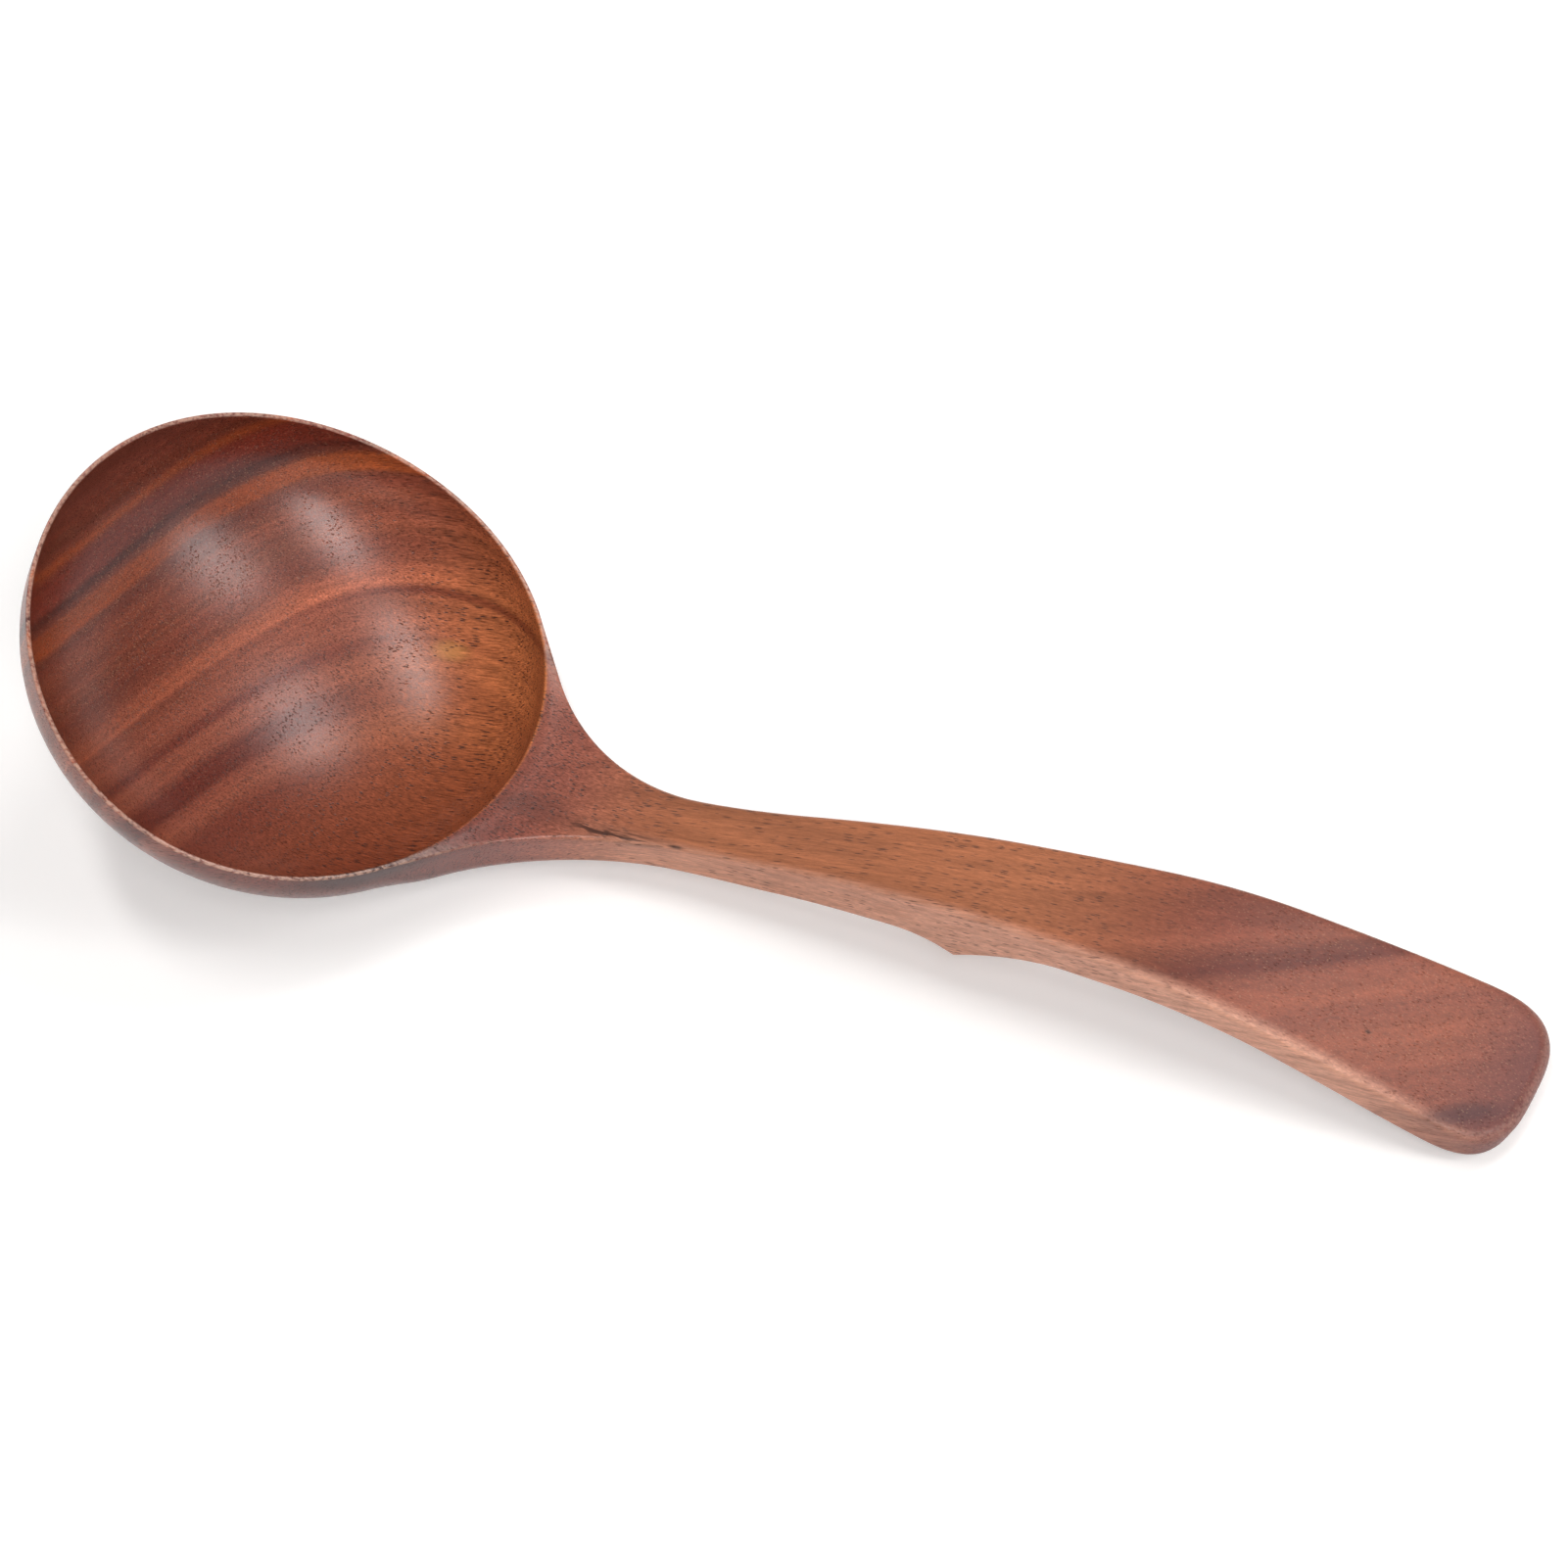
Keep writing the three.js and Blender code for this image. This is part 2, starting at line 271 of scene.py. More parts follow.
class Sheets:
    """Collects grids of points as quads of one mesh, with a value for each point of how pale its edge is,
    from use and painted highlight.
    """

    def __init__(self) -> None:
        """Starts with no points."""
        self.points: list[Array] = []
        self.wear_and_highlight: list[Array] = []
        self.quads: list[Array] = []
        self.count = 0

    def add(self, grid: Array, wear_and_highlight: Array) -> None:
        """Adds one grid.

        Args:
            grid: points, of shape rows, columns, 3.
            wear_and_highlight: how pale each point is made, by use and painted highlight, of shape rows,
                columns.
        """
        rows, columns, _ = grid.shape
        index = self.count + np.arange(rows * columns).reshape(rows, columns)
        corners = (index[:-1, :-1], index[:-1, 1:], index[1:, 1:], index[1:, :-1])
        self.quads.append(np.stack(corners, axis=-1).reshape(-1, 4))
        self.points.append(grid.reshape(-1, 3))
        self.wear_and_highlight.append(wear_and_highlight.reshape(-1))
        self.count += rows * columns


@dataclass
class Ladle:
    """The whole ladle: its sizes, the smooth lines that they give, and its mesh."""

    top_line: TopLine = field(default_factory=TopLine)
    bowl: Bowl = field(default_factory=Bowl)
    handle: Handle = field(default_factory=Handle)
    wear_and_shine: WearAndHighlight = field(default_factory=WearAndHighlight)
    steps: MeshSteps = field(default_factory=MeshSteps)
    tilt: float = field(default=0.0, init=False)
    place: Matrix = field(default_factory=Matrix, init=False)

    def __post_init__(self) -> None:
        """Works out the flare and the smooth lines that the sizes give."""
        self.shape_flare()
        bowl, handle, top = self.bowl, self.handle, self.top_line
        reach, flare_x = handle.neck_reach, self.flare_start[0]
        self.end_centre = top.end_reach - handle.end_round
        self.handle_half_width = SmoothLine(
            (reach, handle.neck_width / 2),
            (handle.nib_reach, handle.nib_width / 2),
            (top.bend_reach, handle.bend_width / 2),
            (top.end_reach, handle.end_width / 2),
        )
        self.front_thickness = SmoothLine(
            (reach, handle.neck_thickness), (handle.nib_reach, handle.shoulder_thickness)
        )
        self.back_thickness = SmoothLine(
            (handle.nib_reach, handle.palm_thickness),
            (top.bend_reach, handle.bend_thickness),
            (self.end_centre, handle.end_thickness),
        )
        neck_depth = float(self.handle_depth(np.array([reach]))[0])
        self.flare_wall = SmoothLine(
            (flare_x, float(top.height(flare_x)) + bowl.rim_wall),
            (self.flare_end[0], handle.flare_wall),
            (reach, neck_depth - handle.underside_round),
        )
        self.squareness = SmoothLine(
            (flare_x, CIRCLE_POWER), (handle.nib_reach, handle.underside_squareness)
        )
        self.flat = SmoothLine(
            (reach, 0.0), (handle.nib_reach - handle.nib_front_run, handle.underside_flat / 2)
        )
        self.arris = SmoothLine(
            (flare_x, bowl.rim_arris),
            (reach, handle.handle_arris),
            (self.end_centre, handle.handle_arris),
            (top.end_reach, handle.end_arris),
        )
        self.rim_share = SmoothLine(
            (flare_x - self.wear_and_shine.short_of_flare, 1.0),
            (self.flare_end[0] + self.wear_and_shine.past_flare, 0.0),
        )

    def shape_flare(self) -> None:
        """Works out the flare: a straight tangent off the bowl's circle, then an arc into the neck."""
        radius, reach, half = self.bowl.outer_radius, self.handle.neck_reach, self.handle.neck_width / 2
        straight = self.handle.flare_straight
        self.flare_radius = (reach**2 + half**2 - radius**2 - straight**2) / (2 * (radius - half))
        self.flare_centre = np.array([reach, half + self.flare_radius])
        turn = math.atan2(self.flare_centre[1], self.flare_centre[0])
        self.flare_angle = turn + math.atan(straight / (radius + self.flare_radius))
        normal = np.array([math.cos(self.flare_angle), math.sin(self.flare_angle)])
        self.flare_start = normal * radius
        self.flare_end = self.flare_centre - normal * self.flare_radius

    def half_width(self, x: Array) -> Array:
        """Gives the plan's half-width, before the end is rounded.

        Args:
            x: places along the ladle.

        Returns:
            The half-widths there.
        """
        bowl, reach = self.bowl, self.handle.neck_reach
        circle = np.sqrt(np.maximum(0, bowl.outer_radius**2 - x**2))
        straight = self.flare_start[1] - (x - self.flare_start[0]) / math.tan(self.flare_angle)
        arc = self.flare_centre[1] - np.sqrt(np.maximum(0, self.flare_radius**2 - (reach - x) ** 2))
        places = [x <= self.flare_start[0], x <= self.flare_end[0], x <= reach]
        return np.select(places, [circle, straight, arc], self.handle_half_width(x))

    def nib(self, x: Array) -> Array:
        """Gives how far the nib stands out below the handle's own thickness.

        Args:
            x: places along the ladle.

        Returns:
            The nib's depths there.
        """
        handle = self.handle
        front = x < handle.nib_reach
        body = np.where(front, handle.shoulder_thickness, handle.palm_thickness)
        run = np.where(front, handle.nib_front_run, handle.nib_back_run)
        away = np.minimum(1, np.abs(x - handle.nib_reach) / run)
        bearing = handle.nib_bearing / handle.nib_front_run
        seat = 1 + away / bearing * ((1 - bearing) ** 2 - 1)
        return (handle.nib_thickness - body) * np.where(front & (away < bearing), seat, (1 - away) ** 2)

    def handle_depth(self, x: Array) -> Array:
        """Gives the depth of the handle's underside straight below its top line.

        Args:
            x: places along the ladle.

        Returns:
            The depths there.
        """
        front = x < self.handle.nib_reach
        body = np.where(front, self.front_thickness(x), self.back_thickness(x))
        return (body + self.nib(x)) / np.cos(self.top_line.angle(x))

    def wall(self, x: Array) -> Array:
        """Gives the height of the upright side wall.

        Args:
            x: places along the ladle.

        Returns:
            The heights there.
        """
        rim = self.top_line.height(x) + self.bowl.rim_wall
        side = self.handle_depth(x) - self.handle.underside_round
        places = [x <= self.flare_start[0], x <= self.handle.neck_reach]
        return np.select(places, [rim, self.flare_wall(x)], side)

    def keel(self, x: Array) -> Array:
        """Gives the height of the underside along the middle line.

        Args:
            x: places along the ladle.

        Returns:
            The heights there.
        """
        bowl, reach, start = self.bowl, self.handle.neck_reach, self.bowl.runout_reach
        share = np.sqrt(np.maximum(0, 1 - (x / bowl.outer_radius) ** 2))
        round_bottom = -bowl.rim_wall - bowl.underside_depth * share
        start_share = math.sqrt(1 - (start / bowl.outer_radius) ** 2)
        start_slope = bowl.underside_depth * start / (bowl.outer_radius**2 * start_share)
        start_height = -bowl.rim_wall - bowl.underside_depth * start_share
        neck = np.array([reach])
        end_height = float((self.top_line.height(neck) - self.handle_depth(neck))[0])
        end_slope = math.tan(float(self.top_line.angle(neck)[0]))
        run = reach - start
        t = np.clip((x - start) / run, 0, 1)
        rise = (3 - 2 * t) * t * t
        runout = (1 - rise) * start_height + rise * end_height
        runout += t * (1 - t) ** 2 * run * start_slope + t * t * (t - 1) * run * end_slope
        under = self.top_line.height(x) - self.handle_depth(x)
        return np.select([x <= start, x < reach], [round_bottom, runout], under)

    def rim_arc(self, start: float, end: float, count: int) -> Array:
        """Returns points on the bowl's outer circle, from a start angle to just short of an end angle."""
        return self.bowl.outer_radius * around(np.linspace(start, end, count, endpoint=False))

    def shaft(self) -> Array:
        """Walks one side of the handle's plan, from the neck to where its end starts to round.

        Returns:
            The points.
        """
        steps, handle = self.steps, self.handle
        nib, bearing = handle.nib_reach, handle.nib_reach - handle.nib_bearing
        scoop_start, scoop_end = nib - handle.nib_front_run, nib + handle.nib_back_run
        stretches = (
            (handle.neck_reach, scoop_start, steps.neck),
            (scoop_start, bearing, steps.scoop),
            (bearing, nib, steps.wall),
            (nib, scoop_end, steps.scoop),
            (scoop_end, self.end_centre, steps.palm),
        )
        x = np.concatenate([np.linspace(a, b, count, endpoint=False) for a, b, count in stretches])
        return np.stack([x, self.half_width(x)], axis=1)

    def broad_end(self) -> Array:
        """Walks one side of the handle's rounded end, to its middle.

        Returns:
            The points.
        """
        turn = np.linspace(0, math.pi / 2, self.steps.end + 1)
        power = CIRCLE_POWER / self.handle.end_squareness
        x = self.end_centre + self.handle.end_round * np.sin(turn) ** power
        rounding = np.clip(np.cos(turn), 0, 1) ** power
        rounding[-1] = 0
        return np.stack([x, self.half_width(x) * rounding], axis=1)

    def outline(self) -> tuple[Array, int]:
        """Walks one side of the plan from the front of the bowl to the middle of the handle's end.

        Returns:
            The points, and the number of the point at the gate, where straight ribs take over.
        """
        steps = self.steps
        front = self.rim_arc(math.pi, math.pi / 2, steps.front)
        side = self.rim_arc(math.pi / 2, self.flare_angle, steps.side)
        share = np.linspace(0, 1, steps.straight, endpoint=False)[:, None]
        straight = (1 - share) * self.flare_start + share * self.flare_end
        turns = np.linspace(self.flare_angle, math.pi / 2, steps.flare, endpoint=False)
        flare = self.flare_centre - self.flare_radius * around(turns)
        points = np.concatenate([front, side, straight, flare, self.shaft(), self.broad_end()])
        points[0, 1] = 0
        first = steps.front + steps.side + steps.straight
        gate = first + int(np.argmin(np.abs(flare[:, 0] - steps.gate_reach)))
        return points, gate

    def on_top(self, plan: Array, drop: Array | float = 0.0) -> Array:
        """Returns plan points raised to the top face, less a drop."""
        z = self.top_line.height(plan[..., 0]) - drop
        return np.concatenate([plan, z[..., None]], axis=-1)

    def arris_columns(self, ring: Array) -> tuple[list[Array], list[Array]]:
        """Rounds the plan's edge over from the top face to the wall.

        Args:
            ring: the plan's outline, all the way round.

        Returns:
            The ring's points at each step of the round, and how pale they are made by use and painted
            highlight.
        """
        count, arris, rim = self.steps.arris, self.arris(ring[:, 0]), self.rim_share(ring[:, 0])
        tangent = np.roll(ring, -1, axis=0) - np.roll(ring, 1, axis=0)
        normal = np.stack([-tangent[:, 1], tangent[:, 0]], axis=1)
        normal /= np.linalg.norm(normal, axis=1, keepdims=True)
        columns, wear_and_highlight = [], []
        for step in range(count + 1):
            bend = math.pi / 2 * step / count
            plan = ring - normal * (arris * (1 - math.sin(bend)))[:, None]
            columns.append(self.on_top(plan, arris * (1 - math.cos(bend))))
            # Palest at the middle of each arris: partly from use, partly a painted highlight along the
            # rounded edge.
            worn_and_lit = math.sin(math.pi * step / count) * self.wear_and_shine.arris_share
            wear_and_highlight.append(rim * (step < count) + (1 - rim) * worn_and_lit)
        return columns, wear_and_highlight

    def wall_columns(self, ring: Array) -> list[Array]:
        """Takes the plan's edge down the upright wall, short of the wall's foot.

        Args:
            ring: the plan's outline, all the way round.

        Returns:
            The ring's points at each step down.
        """
        arris, wall = self.arris(ring[:, 0]), self.wall(ring[:, 0])
        shares = [step / self.steps.wall for step in range(1, self.steps.wall)]
        return [self.on_top(ring, arris + share * (wall - arris)) for share in shares]

    def under_columns(self, ring: Array) -> list[Array]:
        """Rounds the underside in from the wall's foot to the keel.

        Args:
            ring: the plan's outline, all the way round.

        Returns:
            The ring's points at each step in.
        """
        count = self.steps.underside
        spine_x = np.clip(ring[:, 0], 0, self.end_centre)
        spine = np.stack([spine_x, np.zeros(len(ring))], axis=1)
        belly = self.top_line.height(spine_x) - self.wall(spine_x) - self.keel(spine_x)
        power = CIRCLE_POWER / self.squareness(spine_x)
        span = np.linalg.norm(ring - spine, axis=1)
        flat = np.minimum(self.flat(spine_x) / np.maximum(span, TINY), 1)
        columns = []
        for step in range(count + 2):
            bend = math.pi / 2 * min(1, step / count)
            round_share = max(0.0, math.cos(bend)) ** power if step < count else 0 * power
            share = flat + (1 - flat) * round_share if step <= count else 0 * flat
            plan = spine + (ring - spine) * share[:, None]
            drop = self.wall(plan[:, 0]) + belly * math.sin(bend) ** power
            columns.append(self.on_top(plan, drop))
        return columns

    def shell(self, sheets: Sheets) -> None:
        """Adds the ring of ribs over the arris, down the wall and under the ladle, and the top face.

        Args:
            sheets: the mesh in the making.
        """
        side, gate = self.outline()
        ring = np.concatenate([side, side[-2:0:-1] * (1, -1)])
        columns, wear_and_highlight = self.arris_columns(ring)
        plain = self.wall_columns(ring) + self.under_columns(ring)
        grid = np.stack(columns + plain, axis=1)
        worn_and_lit = np.stack(wear_and_highlight + [np.zeros(len(ring)) for _ in plain], axis=1)
        sheets.add(np.concatenate([grid, grid[:1]]), np.concatenate([worn_and_lit, worn_and_lit[:1]]))
        top = grid[: len(side), 0]
        self.handle_top(sheets, top[gate:])
        self.rim_and_hollow(sheets, top[: gate + 1], worn_and_lit[: gate + 1, 0])

    def handle_top(self, sheets: Sheets, edge: Array) -> None:
        """Adds the handle's top face, straight from side to side.

        Args:
            sheets: the mesh in the making.
            edge: the inner edge of the arris on one side, from the gate to the end.
        """
        share = np.linspace(1, -1, self.steps.across + 1)
        x = np.repeat(edge[:, :1], len(share), axis=1)
        plan = np.stack([x, edge[:, 1:2] * share], axis=2)
        sheets.add(self.on_top(plan), np.zeros(plan.shape[:2]))

    def rim_and_hollow(self, sheets: Sheets, edge: Array, edge_wear_and_highlight: Array) -> None:
        """Adds the rim's land, the flare's top face, the small round inside the rim and the hollow.

        Args:
            sheets: the mesh in the making.
            edge: the inner edge of the outer arris on one side, from the front to the gate.
            edge_wear_and_highlight: how pale that edge is made by use and painted highlight.
        """
        steps = self.steps
        start = steps.front + steps.side
        turn = np.arctan2(edge[:, 1], edge[:, 0])
        gate_turn = math.radians(steps.gate_angle)
        turn[start:] = np.linspace(turn[start], gate_turn, len(turn) - start)
        turn[0] = math.pi
        lip = self.bowl.inner_radius + self.bowl.rim_arris
        share = np.linspace(0, 1, steps.land + 1)[:, None]
        plan = (lip * around(turn))[:, None] * (1 - share) + edge[:, None, :2] * share
        wear_and_highlight = edge_wear_and_highlight[:, None] * np.ones(len(share))
        sheets.add(self.on_top(plan), wear_and_highlight)
        sheets.add(self.on_top(plan * (1, -1)), wear_and_highlight)
        fan = np.linspace(gate_turn, -gate_turn, steps.across + 1)
        across = np.linspace(1, -1, steps.across + 1)
        line = np.stack([np.full(len(across), edge[-1, 0]), edge[-1, 1] * across], axis=1)
        patch = (lip * around(fan))[:, None] * (1 - share) + line[:, None] * share
        sheets.add(self.on_top(patch), np.zeros(patch.shape[:2]))
        turns = np.concatenate([turn, fan[1:-1], -turn[::-1]])
        lip_wear_and_highlight = np.concatenate([edge_wear_and_highlight, np.zeros(len(fan) - 2), edge_wear_and_highlight[::-1]])
        self.hollow(sheets, turns, lip_wear_and_highlight)

    def hollow(self, sheets: Sheets, turns: Array, lip_wear_and_highlight: Array) -> None:
        """Adds the hollow of the bowl, from its lowest point up to the land of the rim.

        Args:
            sheets: the mesh in the making.
            turns: the angles round the bowl that carry a line of points.
            lip_wear_and_highlight: how pale the lip is made at each angle, by use and painted highlight.
        """
        steps, bowl = self.steps, self.bowl
        ray = around(turns)
        lip_height = self.top_line.height(bowl.inner_radius * ray[:, 0]) - bowl.rim_arris
        rows = steps.hollow + 1
        depths = [-bowl.inner_depth * math.cos(math.pi / 2 * row / rows) for row in range(rows)]
        columns = [np.full(len(turns), depth) for depth in depths]
        for step in range(1, steps.hollow_wall + 1):
            columns.append(depths[-1] + (lip_height - depths[-1]) * step / steps.hollow_wall)
        heights = np.stack(columns, axis=1)
        shrink = np.sqrt(np.maximum(0, 1 - (np.minimum(heights, 0) / bowl.inner_depth) ** 2))
        plan = ray[:, None] * (bowl.inner_radius * shrink)[..., None]
        plan[:, 0] = 0
        grid = np.concatenate([plan, heights[..., None]], axis=2)
        rounds = []
        for step in range(1, steps.arris + 1):
            bend = math.pi / 2 * step / steps.arris
            lip = ray * (bowl.inner_radius + bowl.rim_arris * (1 - math.cos(bend)))
            rounds.append(self.on_top(lip, bowl.rim_arris * (1 - math.sin(bend))))
        grid = np.concatenate([grid, np.stack(rounds, axis=1)], axis=1)
        wear_and_highlight = np.zeros(grid.shape[:2])
        fade = np.arange(1, steps.arris + 1) / steps.arris
        wear_and_highlight[:, -steps.arris :] = lip_wear_and_highlight[:, None] * fade
        sheets.add(grid, wear_and_highlight)

    def resting_tilt(self, points: Array) -> float:
        """Finds the lean at which the bowl and the tip of the handle stand on one level table.

        Args:
            points: the mesh's points, with the bowl level, in millimetres.

        Returns:
            The lean, in radians.
        """
        in_handle = points[:, 0] > self.handle.neck_reach
        level, steep = 0.0, math.pi / 2
        for _ in range(TILT_TRIES):
            tilt = (level + steep) / 2
            heights = points[:, 2] * math.cos(tilt) - points[:, 0] * math.sin(tilt)
            if heights[in_handle].min() > heights[~in_handle].min():
                level = tilt
            else:
                steep = tilt
        return (level + steep) / 2

    def lay_down(self, points: Array) -> None:
        """Works out the tilt and the place that lay the ladle on the table where the solid is, in metres.

        Args:
            points: the mesh's points, with the bowl level, in millimetres.
        """
        self.tilt = self.resting_tilt(points)
        laid = points @ np.array(Matrix.Rotation(self.tilt, 3, "Y")).T
        low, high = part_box(NODE)
        middle = (laid[:, 0].min() + laid[:, 0].max()) / 2
        shift = Vector(((low.x + high.x) / 2 - middle * MM, 0, low.z - laid[:, 2].min() * MM))
        self.place = Matrix.Translation(shift) @ Matrix.Rotation(self.tilt, 4, "Y") @ Matrix.Scale(MM, 4)

    def build(self) -> bpy.types.Object:
        """Makes the mesh, lays it down and sets it in place of the solid.

        Returns:
            The ladle's object.
        """
        sheets = Sheets()
        self.shell(sheets)
        points = np.concatenate(sheets.points)
        self.lay_down(points)
        mesh = bpy.data.meshes.new(PIECE)
        mesh.from_pydata(points.tolist(), [], np.concatenate(sheets.quads).tolist())
        # The pale edges, partly from use and partly painted highlight, go on the mesh as a value for each
        # point.
        worn_and_lit = mesh.attributes.new(WEAR_AND_HIGHLIGHT, "FLOAT", "POINT")
        worn_and_lit.data.foreach_set("value", np.concatenate(sheets.wear_and_highlight).astype(np.float32))
        work = bmesh.new()
        work.from_mesh(mesh)
        bmesh.ops.remove_doubles(work, verts=work.verts, dist=self.steps.weld)
        bmesh.ops.dissolve_degenerate(work, dist=self.steps.sliver, edges=work.edges)
        bmesh.ops.recalc_face_normals(work, faces=work.faces)
        bmesh.ops.transform(work, matrix=self.place, verts=work.verts)
        open_edges = sum(not edge.is_manifold for edge in work.edges)
        work.to_mesh(mesh)
        work.free()
        mesh.shade_smooth()
        mesh.set_sharp_from_angle(angle=math.radians(self.steps.crease_angle))
        ladle = bpy.data.objects.new(PIECE, mesh)
        bpy.context.scene.collection.objects.link(ladle)
        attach(ladle, "root")
        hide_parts(NODE)
        log.info("%s: %d faces, %d open edges", ladle.name, len(mesh.polygons), open_edges)
        return ladle


def srgb(hex_colour: str) -> Colour:
    """Brings a written colour to linear light.

    Args:
        hex_colour: the colour as six hex digits.

    Returns:
        Its red, green and blue in linear light, with full alpha.
    """
    parts = [int(hex_colour[i : i + 2], 16) / 255 for i in (0, 2, 4)]
    linear = [((c + 0.055) / 1.055) ** 2.4 if c > 0.04045 else c / 12.92 for c in parts]
    return (*linear, 1.0)


class Tone(Enum):
    """The colours of the wood, from dark late wood to the pale wood of the handle's near side, which is
    partly painted light.
    """

    SHADOW = "60291f"
    MAUVE = "693b38"
    BARK = "6c3226"
    UMBER = "783d2e"
    HEART = "824332"
    MAROON = "863a2b"
    RUSSET = "8a4a37"
    ROSE = "8c5044"
    HONEY = "93503a"
    BUFF = "a65b41"
    FAWN = "a96745"
    AMBER = "aa5730"
    # The pale near-side wood, brightened as painted light on the handle's lit side.
    SAPWOOD = "cf967e"

    @property
    def light(self) -> Colour:
        """The tone in linear light."""
        return srgb(self.value)


class Nodes:
    """Makes and joins the nodes of one tree, with few words."""

    def __init__(self, tree: Tree) -> None:
        """Takes the node tree to fill."""
        self.tree = tree

    def add(self, kind: str, inputs: dict[Any, Any] | None = None, **settings: Any) -> Node:
        """Adds one node.

        Args:
            kind: the node's Blender type.
            inputs: what goes into its sockets: a socket to link, or a plain value.
            settings: the node's own properties.

        Returns:
            The node.
        """
        node = self.tree.nodes.new(kind)
        for name, value in settings.items():
            setattr(node, name, value)
        for name, value in (inputs or {}).items():
            if isinstance(value, Socket):
                self.tree.links.new(value, node.inputs[name])
            else:
                node.inputs[name].default_value = value
        return node

    def group(self, tree: Tree, values: dict[str, Any]) -> Node:
        """Places a node group with its own values and returns its node."""
        return self.add("ShaderNodeGroup", values, node_tree=tree)

    def math(self, operation: str, *values: Any, clamp: bool = False) -> Socket:
        """Adds a sum on one to three values and returns its result."""
        inputs = dict(enumerate(values))
        return self.add("ShaderNodeMath", inputs, operation=operation, use_clamp=clamp).outputs[0]

    def times(self, first: Any, second: Any) -> Socket:
        """Adds a product and returns it."""
        return self.math("MULTIPLY", first, second)

    def rest(self, share: Any) -> Socket:
        """Adds what is left of 1 beside a share and returns it."""
        return self.math("SUBTRACT", 1.0, share)

    def line(self, value: Any, slope: Any, base: Any) -> Socket:
        """Adds a straight line, value times slope plus base, and returns it."""
        return self.math("MULTIPLY_ADD", value, slope, base)

    def dot(self, vector: Any, axis: Any) -> Socket:
        """Adds a dot product and returns its value."""
        node = self.add("ShaderNodeVectorMath", {0: vector, 1: axis}, operation="DOT_PRODUCT")
        return node.outputs["Value"]

    def ease(self, value: Any, low: float, high: float) -> Socket:
        """Adds a smooth step from 0 at low to 1 at high and returns it."""
        inputs = {"Value": value, "From Min": low, "From Max": high}
        return self.add("ShaderNodeMapRange", inputs, interpolation_type="SMOOTHSTEP").outputs["Result"]

    def mix(self, share: Any, first: Any, second: Any, blend: str = "MIX") -> Socket:
        """Adds a colour mix and returns its result."""
        inputs = {0: share, 6: first, 7: second}
        return self.add("ShaderNodeMix", inputs, data_type="RGBA", blend_type=blend).outputs[2]

    def swung(self, noise: Any, amount: Any) -> Socket:
        """Adds a noise whose swing about the middle is scaled by an amount and returns it."""
        swing = self.math("SUBTRACT", noise, MIDDLE)
        return self.line(swing, amount, MIDDLE)

    def shaded(self, colour: Any, noise: Any, dark: float, light: float) -> Socket:
        """Darkens and lightens a colour by a noise.

        Args:
            colour: the colour.
            noise: the noise, about its middle.
            dark: the share of the colour's light where the noise is low.
            light: the same where it is high.

        Returns:
            The colour's socket.
        """
        low, high = NOISE_RANGE
        inputs = {"Value": noise, "From Min": low, "From Max": high, "To Min": dark, "To Max": light}
        shade = self.add("ShaderNodeMapRange", inputs).outputs["Result"]
        tint = self.add("ShaderNodeCombineColor", {0: shade, 1: shade, 2: shade}).outputs[0]
        return self.mix(1.0, colour, tint, "MULTIPLY")


def new_group(
    name: str, inputs: Sequence[tuple[str, str, Any]], outputs: Sequence[str]
) -> tuple[Nodes, Node, Node]:
    """Makes an empty shader node group with named sockets.

    Args:
        name: the group's name.
        inputs: each input's name, socket type and value.
        outputs: each output's name; all of them are plain values.

    Returns:
        The group's node maker, its input node and its output node.
    """
    tree = bpy.data.node_groups.new(name, "ShaderNodeTree")
    for label, kind, value in inputs:
        socket = tree.interface.new_socket(label, in_out="INPUT", socket_type=kind)
        if value is not None:
            socket.default_value = value
    for label in outputs:
        tree.interface.new_socket(label, in_out="OUTPUT", socket_type=FLOAT)
    nodes = Nodes(tree)
    return nodes, nodes.add("NodeGroupInput"), nodes.add("NodeGroupOutput")


def empty_material(name: str) -> tuple[bpy.types.Material, Nodes]:
    """Makes a material with an empty node tree.

    Args:
        name: the material's name.

    Returns:
        The material and the maker of its nodes.
    """
    material = bpy.data.materials.new(name)
    material.use_nodes = True
    material.node_tree.nodes.clear()
    return material, Nodes(material.node_tree)


@dataclass(frozen=True)
class Timber:
    """How the billet's wood lies in the ladle: the way its fibres run and how its layers face."""

    fibre: Vector = Vector((0.80, 0.04, 0.60))
    layer: Vector = Vector((-0.52, 0.43, 0.74))

    def axes(self) -> tuple[Vector, Vector, Vector]:
        """Works out three directions square to each other.

        Returns:
            The fibre's direction, the layers' normal square to it, and the third direction.
        """
        along = self.fibre.normalized()
        out = (self.layer - along * self.layer.dot(along)).normalized()
        return along, out, along.cross(out)


